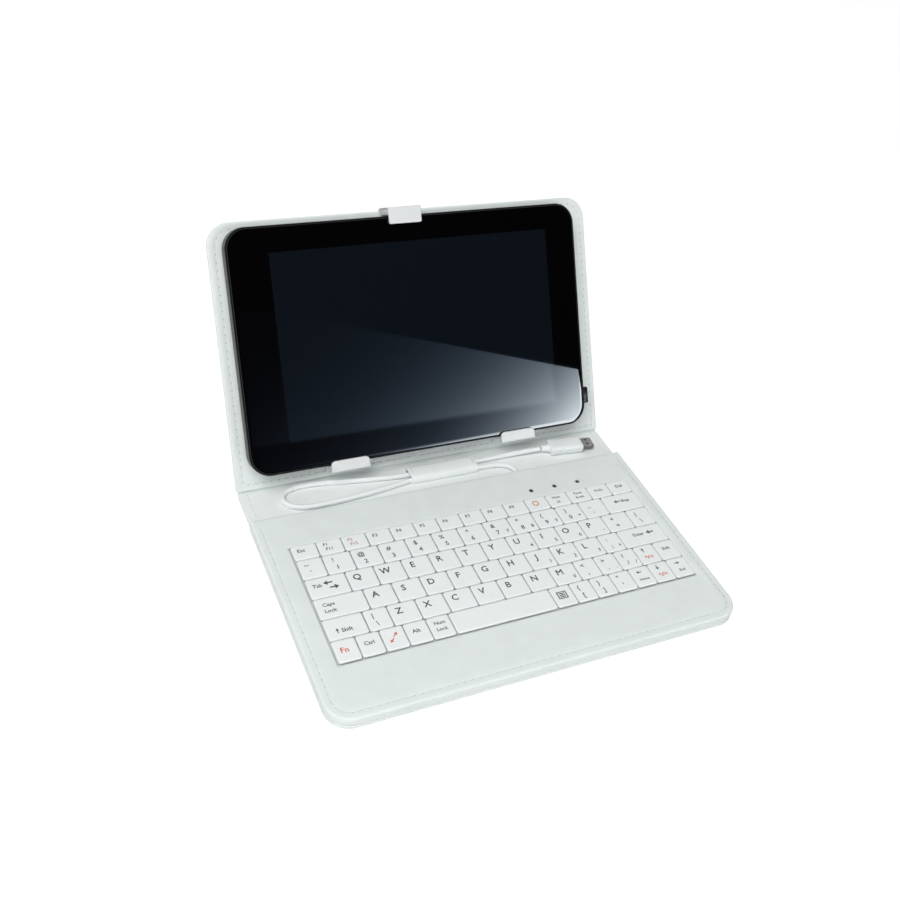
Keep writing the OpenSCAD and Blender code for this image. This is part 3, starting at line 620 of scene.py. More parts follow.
def make_glass(name, border, screen):
    """The tablet's glass: black print behind it, and a display window inside two pairs of edges, one pair
    across and one up the lid"""
    f = Finish(name).base(border, 0.018, 0.10, 30.0, 0.003)
    across = f.node("ShaderNodeSeparateXYZ", {"Vector": f.place}).outputs["X"]
    up = f.node("ShaderNodeVectorMath", {0: f.place, 1: (0, 0.5, math.sqrt(0.75))},
            operation="DOT_PRODUCT").outputs["Value"]
    middle_up = 0.5 * 88.8 * MM + math.sqrt(0.75) * 1.5 * MM + 73.7 * MM
    sides = []
    for value, middle, half in ((across, -2.5 * MM, 77.5 * MM), (up, middle_up, 48 * MM)):
        sides.append(f.math("SUBTRACT", f.math("ABSOLUTE", f.math("SUBTRACT", value, middle)), half))
    outside = f.math("MAXIMUM", *sides)
    window = f.ramp(outside, -0.25 * MM, 0.25 * MM, 1.0, 0.0)
    f.recolour(window, screen)
    return f.bumps(f.noise(60.0, 1.0), 0.02, 0.05).set(IOR=1.5).material


def make_woven(name, colour, pitch=0.5, depth=0.06):
    """Narrow woven tape: two sets of ribs crossing, over and under"""
    f = Finish(name).base(colour, 0.82, 0.05, 3.0, 0.05)
    lines = [f.node("ShaderNodeTexWave", {"Vector": f.place, "Scale": 314 / pitch / 6.3,
            "Distortion": 0.2}, bands_direction=d).outputs["Fac"] for d in ("X", "Z")]
    return f.bumps(f.math("MULTIPLY", *lines), depth, 0.8).set(Sheen_Weight=0.2).material


def make_board(name, colour, traces):
    """A circuit board: solder mask over fine straight tracks"""
    f = Finish(name).base(colour, 0.35, 0.05, 4.0, 0.05)
    brick = f.node("ShaderNodeTexBrick", {"Vector": f.place, "Scale": 180.0, "Mortar Size": 0.03})
    f.recolour(f.ramp(brick.outputs["Fac"], 0.0, 1.0, 0.0, 0.6), traces)
    return f.bumps(brick.outputs["Fac"], 0.03, 0.5).material


# moulded finishes: colour, or the name of a colour setting; roughness, grain and relief in mm, drift of the
# colour, share of metal, coat and gloss
MOULDED = {
    "key_plastic_white": ("keys", 0.46, 0.25, 0.006),
    "key_ink": ("ink", 0.6, 0.2, 0.004, 0.08),
    "key_ink_red": ("red_ink", 0.6, 0.2, 0.004, 0.08),
    "key_ink_pink": ((0.42, 0.24, 0.24), 0.6, 0.2, 0.004, 0.08),
    "key_ink_orange": ((0.62, 0.30, 0.16), 0.6, 0.2, 0.004, 0.08),
    "fitting_plastic": ("fittings", 0.38, 0.4, 0.008),
    "lead_plastic": ("lead", 0.45, 0.6, 0.01),
    "plate_plastic": ((0.66, 0.69, 0.69), 0.5, 0.3, 0.01),
    "plug_metal": ((0.24, 0.24, 0.23), 0.32, 0.3, 0.006, 0.05, 1.0),
    "rivet_metal": ((0.62, 0.62, 0.63), 0.26, 0.3, 0.006, 0.05, 1.0),
    "contact_plastic": ((0.03, 0.03, 0.032), 0.4, 0.3, 0.01, 0.1),
    "lens_plastic": ((0.022, 0.024, 0.026), 0.18, 0.5, 0.004, 0.1, 0.0, 0.3),
    "tablet_plastic": ((0.003, 0.003, 0.004), 0.30, 0.5, 0.004, 0.15, 0.0, 0.0, 0.2),
    "display_film": ("screen", 0.3, 0.5, 0.004, 0.1),
    "cardboard": ((0.52, 0.49, 0.43), 0.9, 0.5, 0.05, 0.08),
    "foam_sheet": ((0.70, 0.70, 0.66), 0.95, 0.8, 0.15, 0.05),
    "dome_rubber": ((0.78, 0.80, 0.79), 0.6, 0.5, 0.02, 0.02),
    "film_plastic": ((0.55, 0.62, 0.68), 0.2, 1.0, 0.005, 0.05),
}
FINISHES = {}


def finish(name):
    """The material of that name, made on first use"""
    if name not in FINISHES:
        c = bpy.context.scene.keycase_colours
        if name in MOULDED:
            colour, *rest = MOULDED[name]
            FINISHES[name] = make_plastic(name, getattr(c, colour) if isinstance(colour, str) else colour,
                    *rest)
        else:
            FINISHES[name] = {
                "case_leather": lambda: make_leather(name, c.leather),
                "lining_leather": lambda: make_leather(name, c.lining, 0.7, 0.025),
                # painted light: a lighter copy of the lining for the strap and the spine
                "strap_leather": lambda: make_leather(name, c.strap, 0.7, 0.025),
                "fold_leather": lambda: make_leather(name, [v * 0.97 for v in c.leather], 1.1, 0.05),
                "sewing_thread": lambda: make_thread(name, c.thread),
                # painted shade: needle holes in a darker copy of the leather stand for the shadow inside them
                "needle_hole": lambda: make_plastic(name, [v * 0.68 for v in c.leather], 0.8, 0.5, 0.004),
                "tablet_glass_black": lambda: make_glass(name, (0.0012, 0.0012, 0.0016), c.screen),
                "board_green": lambda: make_board(name, (0.03, 0.14, 0.06), (0.10, 0.28, 0.12)),
                "woven_elastic": lambda: make_woven(name, (0.72, 0.73, 0.69)),
                "woven_tape": lambda: make_woven(name, (0.70, 0.73, 0.71), 0.6),
            }[name]()
    return FINISHES[name]


# ---------- pieces ----------


def join_parts(parts):
    """Several (points, faces) as one, each part's face numbers moved past the points before it."""
    points, faces, start = [], [], 0
    for p, f in parts:
        points.append(np.asarray(p, float))
        faces += [[int(v) + start for v in face] for face in f]
        start += len(p)
    return np.concatenate(points), faces


def piece(name, parts, look, body=None, replaces=(), sharp=42):
    """A mesh object in metres from parts in mm, with its finish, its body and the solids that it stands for
   ."""
    points, faces = join_parts(parts)
    mesh = bpy.data.meshes.new(name)
    mesh.from_pydata((points * MM).tolist(), [], faces)
    mesh.validate()
    mesh.polygons.foreach_set("use_smooth", np.ones(len(mesh.polygons), bool))
    mesh.set_sharp_from_angle(angle=math.radians(sharp))
    mesh.materials.append(finish(look))
    made = bpy.data.objects.new(name, mesh)
    bpy.context.scene.collection.objects.link(made)
    if body:
        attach(made, body)
    if replaces:
        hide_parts(*replaces)
    return made


def at_height(line, height):
    """A line of (X, Y) lifted to one height."""
    return np.column_stack([line, np.full(len(line), height)])


def sew(name, body, rows):
    """The threads of some sewn lines, and the needle holes between them as dark capsules of painted shade."""
    piece(name + "_sewing", [stitches(**row) for row in rows], "sewing_thread", body)
    piece(name + "_needle_holes", [stitches(hole=True, **row) for row in rows], "needle_hole", body)


def dress(look, *nodes):
    """A finish on CAD nodes that stay as they are."""
    for name in nodes:
        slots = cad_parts[name].data.materials
        slots.clear()
        slots.append(finish(look))


def at(lid_y, lid_z, place=LID):
    """(Y, Z) of the row frame, in mm, for a place in the lid's own upright section."""
    y, z = np.asarray(lid_y, float), np.asarray(lid_z, float)
    return np.column_stack([np.atleast_1d(place[1, 1] * y + place[1, 2] * z + place[1, 3]),
            np.atleast_1d(place[2, 1] * y + place[2, 2] * z + place[2, 3])])


def blend_between(made, start, end):
    """Bakes the piece's place into its points. start and end, places in (Y, Z) mm, are not used."""
    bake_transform(made)


# the keyboard half's outline, height and corners, and the opening and the three lights in its cover
CASE_X, HALF_Y, CASE_TOP, CASE_R = (-107.0, 107.0), (-64.0, 64.0), 6.8, (12.0, 12.0, 0.4, 0.4)
CASE_SIDES = (30, 46, 30, 46)
OPENING_X, OPENING_Y, OPENING_R = (-94.4, 98.0), (-34.8, 41.0), (0.9,) * 4
LIGHTS_X, LIGHTS_Y = (41.8, 56.2, 70.6), 46.6


# the camera: its heading, fall and roll in degrees, the place that it looks at and how far off that is
CAMERA_TURN, CAMERA_AIM, CAMERA_DISTANCE = (32.552, 36.77, 11.569), (67.969, 120.263, 0), 671.603


class KEYCASE_OT_camera(bpy.types.Operator):
    """The camera, turned by its heading, its fall and its roll, and set back from the place it looks at"""

    bl_idname = "keycase.camera"
    bl_label = "Camera"

    def execute(self, context):
        heading, fall, roll = (math.radians(a) for a in CAMERA_TURN)
        ahead = np.array([math.sin(heading) * math.cos(fall), math.cos(heading) * math.cos(fall),
                -math.sin(fall)])
        right = np.array([math.cos(heading), -math.sin(heading), 0])
        up = np.cross(right, ahead)
        across = math.cos(roll) * right + math.sin(roll) * up
        upward = -math.sin(roll) * right + math.cos(roll) * up
        place = np.array(CAMERA_AIM) - ahead * CAMERA_DISTANCE
        camera = bpy.data.cameras.new("camera")
        camera.lens, camera.sensor_width = context.scene.keycase_studio.lens, 36
        camera.shift_x, camera.shift_y = -0.0713, -0.0427
        camera.clip_start = 0.01
        eye = bpy.data.objects.new("camera", camera)
        axes = np.column_stack([across, upward, -ahead]).tolist()
        eye.matrix_world = Matrix([[*row, p * MM] for row, p in zip(axes, place)] + [[0, 0, 0, 1]])
        context.scene.collection.objects.link(eye)
        context.scene.camera = eye
        return {"FINISHED"}


class KEYCASE_OT_lead(bpy.types.Operator):
    """The lead with its plug"""

    bl_idname = "keycase.lead"
    bl_label = "Lead"

    def execute(self, context):
        path = smooth_line(CABLE_ROUTE, 1.2)
        cable = piece("lead_cable", [tube(path, CABLE_D / 2, 14)], "lead_plastic", replaces=["usb_cable"])
        blend_between(cable, (64.2, 4), (72.6, 4))

        def ring(half_y, half_z, r, x):
            line = rounded((-half_y, half_y), (-half_z, half_z), (r,) * 4, 0, 5, (2, 4, 2, 4))
            return np.column_stack([line, np.full(len(line), x)])

        rings = [ring(w, w, w, x) for x, w in [(-15, 1.5), (-15, 1.72), (-14.6, 1.78), (-14.2, 1.78),
                (-14.1, 1.6), (-13.7, 1.6), (-13.6, 1.9), (-12.9, 2.0), (-12.8, 1.8), (-12.4, 1.8),
                (-12.3, 2.12), (-11.6, 2.25), (-11.5, 2.05), (-11.1, 2.05), (-11.0, 2.4), (-10.2, 2.5)]]
        grips = (-6, -3.6, -1.2, 1.2)
        body_x = np.concatenate([[-10.1, -10.0, -9.8, -9.4], *[[k - 0.62, k - 0.42, k - 0.3, k + 0.3,
                k + 0.42, k + 0.62] for k in grips], [2.5, 5, 7.5, 9.2, 9.7, 9.95, 10]])
        dips = np.min(np.abs(body_x[:, None] - np.array(grips)), axis=1) < 0.35
        for x, dip in zip(body_x, dips):
            end = min(x + 10.1, 10.05 - x)
            share = min(1, end / 0.9)
            soft = 0.9 * (1 - math.sqrt(share * (2 - share)))
            waist = 0.25 * math.exp(-((x + 2.4) / 4.5) ** 2)
            rings.append(ring(5 - waist - soft - (0.4 if dip else 0), 2.7 - soft - 0.3 * waist, 1.6, x))
        moulding = piece("plug_moulding", [placed(loft(rings), PLUG_RINGS)], "lead_plastic", "spine",
                ["plug_body"], sharp=35)

        outer = [(3.6, 1.5, 0.55, x) for x in (9.4, 12, 14, 16.8)] + [(3.52, 1.42, 0.5, 16.97)]
        inner = [(3.3, 1.2, 0.35, 17.0), (3.25, 1.15, 0.3, 16.9), (3.25, 1.15, 0.3, 10.8)]
        shell = [placed(loft([ring(*r) for r in outer + inner]), PLUG_RINGS)]
        metal = piece("plug_metal_shell", shell, "plug_metal", "spine", ["plug_shell"],
                sharp=35)
        windows = [slab((12.55, 14.25), (y - 0.8, y + 0.8), z, PLUG, (0.2,) * 4, 0.06, cuts=3,
                sides=(1,) * 4) for z in ((1.3, 1.53), (-1.53, -1.3)) for y in (-1.7, 1.7)]
        tongue = [slab((10.6, 16.4), (-2.4, 2.4), (-0.7, 0.2), PLUG, (0.2,) * 4, 0.12, cuts=2,
                sides=(1,) * 4)]
        dark = piece("plug_contacts", tongue + windows, "contact_plastic", "spine", ["plug_tongue"])
        return {"FINISHED"}


# rings that face the rear: across, up, and back
GROMMET_RINGS = np.array([[-1, 0, 0, 84.0], [0, 0, 1, 0], [0, 1, 0, 0], [0, 0, 0, 1.0]])


class KEYCASE_OT_keyboard_half(bpy.types.Operator):
    """Outer skin, padded cover, sewing, lights and grommet of the keyboard half"""

    bl_idname = "keycase.keyboard_half"
    bl_label = "Keyboard half"

    def execute(self, context):
        s = context.scene.keycase_sizes
        sewn, edge = s.stitch_inset / MM, s.cover_edge / MM
        line = lambda i: rounded(CASE_X, HALF_Y, CASE_R, i, 10, CASE_SIDES)

        under = [(sewn + 2, 0.0)] + groove(sewn, 0.0, -0.3)[::-1].tolist() + [(1.6, 0), (0.8, 0.03),
                (0.35, 0.15), (0.08, 0.42), (0, 0.8), (0, 1.7), (0.06, 1.95), (0.3, 2.1), (2.4, 2.1),
                (2.4, 0.8), (3.4, 0.8)]
        piece("keyboard_outer_leather", [loft(stack(line, under))], "case_leather", "keyboard_half",
                ["keyboard_outer_skin"])

        t = np.linspace(0, math.pi / 2, 6)
        rim = [(2.4, 2.2), (0.3, 2.2), (0.06, 2.32), (0, 2.6), (0, 4.2), (0, CASE_TOP - edge)]
        rim += np.column_stack([edge * (1 - np.cos(t)), CASE_TOP - edge * (1 - np.sin(t))])[1:].tolist()
        rim += [(2.2, 6.82), (3.4, CASE_TOP)] + groove(sewn, CASE_TOP, 0.28, 0.8).tolist() + [(7.2, 6.82)]
        rings = list(stack(line, rim))
        for ring in rings:
            if ring[0, 2] > 6.4 and ring[:, 1].max() < 61.7:
                ring[:, 2] = np.where(ring[:, 1] > 59, np.maximum(ring[:, 2], CASE_TOP), ring[:, 2])
        opening = lambda i: rounded(OPENING_X, OPENING_Y, OPENING_R, i, 10, CASE_SIDES)
        near = np.column_stack([opening(-1.6), np.full(len(opening(0)), CASE_TOP)])
        start = rings[-1]
        for share in np.linspace(0, 1, 9)[1:]:
            ring = start + (near - start) * share
            waves = 1 + 0.5 * np.sin(ring[:, 0] * 0.11) * np.cos(ring[:, 1] * 0.17)
            ring[:, 2] = CASE_TOP + 0.05 * math.sin(math.pi * share) * waves - 0.02 * share
            rings.append(ring)
        for out, height in ((1.0, 6.77), (0.6, 6.70), (0.3, 6.58), (0.1, 6.40), (0.0, 6.15), (0.0, 5.6)):
            rings.append(np.column_stack([opening(-out), np.full(len(start), height)]))
        rings.append(stack(line, [(2.4, 5.6)])[0])
        cover = piece("keyboard_padded_cover", [loft(rings, wrap=True)], "case_leather", "keyboard_half",
                ["top_cover"])

        fine = rounded(CASE_X, HALF_Y, CASE_R, sewn, 16, (8, 8, 8, 8))
        front = np.roll(fine, -int(np.argmin(np.hypot(fine[:, 0] + 103.4, fine[:, 1] - 60.4))), axis=0)
        front = front[: int(np.argmin(np.hypot(front[:, 0] - 103.4, front[:, 1] - 60.4))) + 1]
        sew("keyboard", "keyboard_half", [dict(line=at_height(front, 6.62), closed=False),
                dict(line=at_height(fine, 0.26), flip=True)])

        lens, ring_parts = [], []
        for x in LIGHTS_X:
            lens.append(dome(x, LIGHTS_Y, [(1.0, 5.0), (1.15, 5.0), (1.2, 5.2), (1.2, 6.8), (1.14, 6.88),
                    (0.85, 6.96), (0.45, 7.0), (0.15, 7.01)]))
            ring_parts.append(dome(x, LIGHTS_Y, [(1.1, 6.7), (1.75, 6.72), (1.72, 6.86), (1.6, 6.9),
                    (1.4, 6.9), (1.3, 6.86), (1.25, 6.75)]))
        piece("light_lenses", lens, "lens_plastic", "keyboard_half", ["indicator_lights"])
        piece("light_rims", ring_parts, "fitting_plastic", "keyboard_half")

        collar = slab((38.5, 45.5), (2.5, 5.5), (59.8, 64.0), GROMMET_RINGS, (1.2,) * 4, 0.5, cuts=5,
                sides=(1, 3, 1, 3))
        piece("lead_grommet", [collar], "lead_plastic", "keyboard_half", ["cable_grommet"])
        return {"FINISHED"}


class KEYCASE_OT_keys(bpy.types.Operator):
    """Keycaps with their plungers, and what is printed on them"""

    bl_idname = "keycase.keys"
    bl_label = "Keys"

    def execute(self, context):
        s = context.scene.keycase_sizes
        corner, size = s.key_corner / MM, s.letter / MM
        profile = [(0.5, KEY_BOTTOM), (0.12, KEY_BOTTOM), (0, KEY_BOTTOM + 0.12), (0.03, 7.18),
                (0.10, 7.36), (0.24, 7.5), (0.45, 7.58), (0.8, KEY_TOP), (1.3, KEY_TOP)]
        for node, members in KEY_NODES.items():
            caps, inks = [], {}
            for row, i in members:
                x0 = KEYS_X + sum(KEY_ROWS[row][:i]) + KEY_GAP / 2
                x1 = x0 + KEY_ROWS[row][i] - KEY_GAP
                y0 = KEYS_Y + (5 - row) * ROW_D + KEY_GAP / 2
                y1 = y0 + (REAR_D if row == 0 else ROW_D) - KEY_GAP
                line = lambda inset: rounded((x0, x1), (y0, y1), (corner,) * 4, inset, 5, (2, 3, 2, 3))
                caps.append(loft(stack(line, profile)))
                mid = ((x0 + x1) / 2, (y0 + y1) / 2)
                caps.append(slab((mid[0] - 2, mid[0] + 2), (mid[1] - 2, mid[1] + 2), (DOME_TOP, 7.0), FLAT,
                        (0.3,) * 4, 0.15, cuts=2, sides=(1,) * 4))
                if node == "key_space":
                    caps += [dome(mid[0] + side, mid[1], [(0.7, DOME_TOP + 0.2), (1, DOME_TOP + 0.5),
                            (1, 6.8)], 12) for side in (-18, 18)]
                shown = KEY_SIGNS.get((row, i)) or self.words(KEY_WORDS[row][i])
                for text, across, down, share, *ink in shown:
                    spot = (x0 + (x1 - x0) * across, y1 - (y1 - y0) * down)
                    drawn = (sign if text in SIGNS else printed)(text, *spot, size * share)
                    tone = ink[0] if ink else "_pink" if (row, i) == PINK_KEY else ""
                    inks.setdefault("key_ink" + tone, []).extend(drawn)
            body = node + ("_caps" if node.endswith("keys") else "_cap")
            piece(node + "_moulding", caps, "key_plastic_white", body, [node])
            for look, parts in inks.items():
                piece(node + "_print" + look[7:], parts, look, body, sharp=30)
        return {"FINISHED"}

    def words(self, text):
        """Where the words of a plain key stand: one letter or two signs at its rear left, and a small sign
        at its front right"""
        main, _, second = text.partition(" ")
        lines = main.split("\n") if main else []
        if len(lines) == 2:
            small = len(lines[1]) > 1
            made = [(lines[0], 0.32, 0.30, 0.52 if small else 0.74),
                    (lines[1], 0.42 if small else 0.40, 0.62 if small else 0.70, 0.52 if small else 0.74)]
        else:
            made = [(line, 0.33, 0.36, 1.0 if len(line) == 1 else 0.58) for line in lines]
        return made + ([(second, 0.80, 0.72, 0.6)] if second else [])


class KEYCASE_OT_folds(bpy.types.Operator):
    """The two leather folds that join the keyboard half, the spine and the lid"""

    bl_idname = "keycase.folds"
    bl_label = "Folds"

    def execute(self, context):
        xs = np.linspace(-106.2, 106.2, 60)

        def crumple(x, yz):
            lift = np.clip((yz[:, 1] - 1.0) / 1.0, 0, 1)
            wave = 0.10 * math.sin(x * 0.21) + 0.07 * math.sin(x * 0.53 + 1.2)
            wave += 0.05 * math.sin(x * 1.1 + 0.4)
            return np.column_stack([0.4 * wave * lift, wave * lift])

        front = [(62.6, 0.25), (63.8, 0.22), (64.6, 0.20), (65.4, 0.20), (66.2, 0.20), (67.0, 0.22),
                (68.0, 0.25), (68.0, 1.2), (67.4, 2.0), (66.8, 2.1), (66.2, 1.75), (65.7, 1.45),
                (65.2, 1.4), (64.7, 1.6), (64.2, 1.95), (63.4, 2.0), (62.6, 1.6)]
        strip = piece("front_fold_leather", [sweep(front, xs, crumple)], "fold_leather",
                sharp=60)
        blend_between(strip, (64.5, 1.5), (67.1, 1.5))

        outer = [(86.4, 0.28), (87.4, 0.2), (88.2, 0.2), (89.0, 0.34), (89.75, 0.8), (90.4, 1.5)]
        back_y, back_z = at([1.2, 1.25, 1.2], [2.4, 3.4, 4.6]).T
        face_y, face_z = at([-0.4, -0.95, -0.95, -0.6], [4.6, 3.4, 2.2, 1.2]).T
        inner = [(88.35, 2.55), (87.7, 2.35), (86.9, 2.3), (86.4, 1.8)]
        rear = outer + list(zip(back_y, back_z)) + list(zip(face_y, face_z)) + inner
        strip = piece("rear_fold_leather", [sweep(rear, xs, crumple)], "fold_leather",
                sharp=60)
        blend_between(strip, (87.6, 1.2), (90.0, 3.2))
        return {"FINISHED"}


SPINE_X, SPINE_Y, STRAP_X = (-106.5, 106.5), (66.3, 87.8), (-17.0, 22.0)


class KEYCASE_OT_spine(bpy.types.Operator):
    """Skin, lining, sewing and strap of the spine"""

    bl_idname = "keycase.spine"
    bl_label = "Spine"

    def execute(self, context):
        line = lambda i: rounded(SPINE_X, SPINE_Y, (0.8,) * 4, i, 4, (6, 40, 6, 40))
        tray = [(4.0, 0), (1.4, 0), (0.7, 0.05), (0.25, 0.25), (0, 0.7), (0, 1.9), (0.12, 2.12),
                (0.4, 2.2), (2.3, 2.2), (2.3, 0.8), (3.3, 0.8)]
        piece("spine_outer_leather", [loft(stack(line, tray))], "case_leather", "spine", ["spine_skin"])
        # the spine's lining takes the lighter copy of the lining, painted light against the shade under the lid
        face = slab(SPINE_X, SPINE_Y, (2.25, 3.0), FLAT, (0.9,) * 4, 0.32, sewn=[(1.6, 0.05)], cuts=4,
                sides=(6, 40, 6, 40))
        piece("spine_lining_leather", [face], "strap_leather", "spine", ["spine_lining"])
        rows = [dict(line=[[side * 102.2, 68.0, 2.98], [side * 102.2, 86.6, 2.98]], closed=False)
                for side in (-1, 1)]

        turn = np.radians(np.linspace(90, 0, 6))
        corner = lambda cy, cz, r, a: np.column_stack([cy + r * np.cos(a), cz + r * np.sin(a)])
        path = np.concatenate([[(72.5, 3.2), (72.0, 3.7), (72.05, 4.5), (72.4, 5.5), (73.0, 6.25),
                (74.0, 6.65), (75.4, 6.76), (78.4, 6.74)], corner(80.4, 5.55, 1.2, turn),
                [(81.6, 5.0), (81.62, 4.5)], corner(82.4, 4.1, 0.78, np.radians([180, 210, 240, 270])),
                [(83.9, 3.32), (86.2, 3.32)]])

        def sag(x, yz):
            share = math.sin(math.pi * (x - STRAP_X[0]) / (STRAP_X[1] - STRAP_X[0])) ** 2
            return np.column_stack([np.zeros(len(yz)), -0.12 * np.clip((yz[:, 1] - 5) / 1.5, 0, 1) * share])

        foot = slab(STRAP_X, (66.7, 72.8), (2.9, 3.28), FLAT, (0.5,) * 4, 0.12, cuts=3,
                sides=(3, 20, 3, 20))
        arch = sweep(ribbon(path, 0.9)[::-1], np.linspace(*STRAP_X, 24), sag, 0.3)
        strap = piece("lead_strap_leather", [arch, foot], "strap_leather", "spine", ["cable_strap"],
                sharp=50)
        rows.append(dict(line=[[-15.6, 84.9, 3.78], [20.6, 84.9, 3.78]], closed=False))
        rows += [dict(line=[[px, 74.6, 7.18], [px, 79.8, 7.18]], closed=False) for px in (-15.2, 20.2)]
        sew("spine", "spine", rows)
        return {"FINISHED"}


# the lid's outline and its lining's, across and up the lid, and the notch in its upper edge
LID_X, LID_V, LID_R = CASE_X, (1.8, 138.0), (1.0, 1.0, 12.0, 12.0)
LINING_X, LINING_V, LINING_R = (-106.4, 106.4), (2.2, 137.4), (1.0, 1.0, 11.4, 11.4)
NOTCH = (-16.6, 2.6)
NOTCH_AT = np.concatenate([np.linspace(93, 3.5, 16), [2.62, 2.58], np.linspace(0, -14, 4),
        [-16.58, -16.62], np.linspace(-18, -93, 14)])


def at_notch(rings):
    """Which points of the rings stand in the notch's width, near the lid's upper edge."""
    return (rings[:, :, 0] > NOTCH[0]) & (rings[:, :, 0] < NOTCH[1]) & (rings[:, :, 1] > 130)


class KEYCASE_OT_lid(bpy.types.Operator):
    """Skin, lining and sewing of the lid"""

    bl_idname = "keycase.lid"
    bl_label = "Lid"

    def execute(self, context):
        sewn = context.scene.keycase_sizes.stitch_inset / MM
        line = lambda i: rounded(LID_X, LID_V, LID_R, i, 10, CASE_SIDES, NOTCH_AT)
        profile = [(sewn + 2, -1.5)] + groove(sewn, -1.5, -0.25)[::-1].tolist() + [(1.6, -1.5),
                (0.8, -1.46), (0.3, -1.32), (0.06, -1.05), (0, -0.75), (0, -0.66), (0, 0.6), (0.05, 1.0),
                (0.3, 1.28), (2.3, 1.3), (2.4, 1.25), (2.4, -0.7), (3.4, -0.7)]
        rings = stack(line, profile)
        cut = at_notch(rings) & (rings[:, :, 2] > -0.7)
        rings[:, :, 2] = np.where(cut, -0.7 + 0.02 * (rings[:, :, 2] + 0.7), rings[:, :, 2])
        piece("lid_outer_leather", [placed(loft(rings), LID_FACE)], "case_leather", "lid", ["lid_skin"])

        face_line = lambda i: rounded(LINING_X, LINING_V, LINING_R, i, 10, CASE_SIDES, NOTCH_AT)
        body = edge_profile(1.35, 2.2, 0.36)
        profile = np.concatenate([[(2, 1.35)], body, groove(sewn - 0.6, 2.2, 0.2, 0.8), [(7, 2.2)]])
        rings = stack(face_line, profile)
        bottom = 135.5 - 0.02 * np.arange(len(rings))[:, None]
        rings[:, :, 1] = np.where(at_notch(rings), np.minimum(rings[:, :, 1], bottom), rings[:, :, 1])
        swell = 0.04 * np.sin(rings[:, :, 0] * 0.09 + 0.6) * np.cos(rings[:, :, 1] * 0.13)
        rings[:, :, 2] += np.where(rings[:, :, 2] > 2.1, swell, 0)
        piece("lid_lining_leather", [placed(loft(rings), LID_FACE)], "lining_leather", "lid",
                ["lid_lining"])

        fine = rounded(LINING_X, LINING_V, LINING_R, sewn - 0.6, 16, (8, 8, 8, 8))
        outside = rounded(LID_X, LID_V, LID_R, sewn, 16, (8, 8, 8, 8))
        sew("lid", "lid", [dict(line=at_height(fine, 2.12), place=LID_FACE),
                dict(line=at_height(outside, -1.32), place=LID_FACE, flip=True)])
        return {"FINISHED"}


# middles and half width of the hooks, the clip's sides, and how far their lips stand over the lid
HOOKS_X, HOOK_HALF, CLIP_X, LIP = {"left": -49.5, "right": 48.5}, 10.5, (-16.0, 2.0), (13.7, 15.2)


class KEYCASE_OT_holders(bpy.types.Operator):
    """The two bottom hooks, the sprung clip and its elastic"""

    bl_idname = "keycase.holders"
    bl_label = "Hooks and clip"

    def execute(self, context):
        few = dict(cuts=5, sides=(3, 6, 3, 6))
        for side, x in HOOKS_X.items():
            wide = (x - HOOK_HALF, x + HOOK_HALF)
            parts = [slab(wide, (5.0, 21.0), (2.22, 3.1), LID_FACE, (0.8, 0.8, 1.5, 1.5), 0.3, **few),
                    slab(wide, (2.3, 15.0), (-9.9, -8.1), LID_SHELF, (0.4,) * 4, 0.35, **few),
                    slab(wide, (6.6, 12.6), LIP, LID_FACE, (0.7, 0.7, 2.4, 2.4), 0.5, crown=0.12, **few)]
            parts += [slab((x + dx - 0.5, x + dx + 0.5), (2.8, 9.0), (-8.4, -6.6), LID_SHELF, (0.2,) * 4,
                    0.2, cuts=2, sides=(1,) * 4) for dx in (-6, 6)]
            piece("bottom_hook_" + side + "_moulding", parts, "fitting_plastic", "lid",
                    ["bottom_hook_" + side])
        parts = [slab((-19.5, 5.5), (102, 123), (-0.1, 0.9), LID_FACE, (2,) * 4, 0.25, **few),
                slab(CLIP_X, (118, 139.5), (-0.1, 0.9), LID_FACE, (0.6,) * 4, 0.25, **few),
                slab(CLIP_X, (-0.1, 15.1), (-139.6, -138.2), LID_SHELF, (0.6,) * 4, 0.45, **few),
                slab(CLIP_X, (2.6, 14.4), (-139.4, -135.5), LID_SHELF, (0.6,) * 4, 0.4, **few),
                slab(CLIP_X, (130.9, 139.6), LIP, LID_FACE, (1.0, 1.0, 0.7, 0.7), 0.5, crown=0.12, **few)]
        piece("top_clip_moulding", parts, "fitting_plastic", "clip", ["top_clip"])
        dress("rivet_metal", "hook_rivets")
        dress("woven_elastic", "clip_elastic")
        return {"FINISHED"}


# the leg behind the lid: half its width, its foot's height, its corners, and how far in its sewn line runs
LEG_HALF, LEG_FOOT, LEG_R, LEG_SEWN = 55.0, -75.2, (6, 6, 0.5, 0.5), 4.5
# half the widths of its hinge strip and its stay
HINGE_HALF, STAY_HALF = 54.6, 6.0



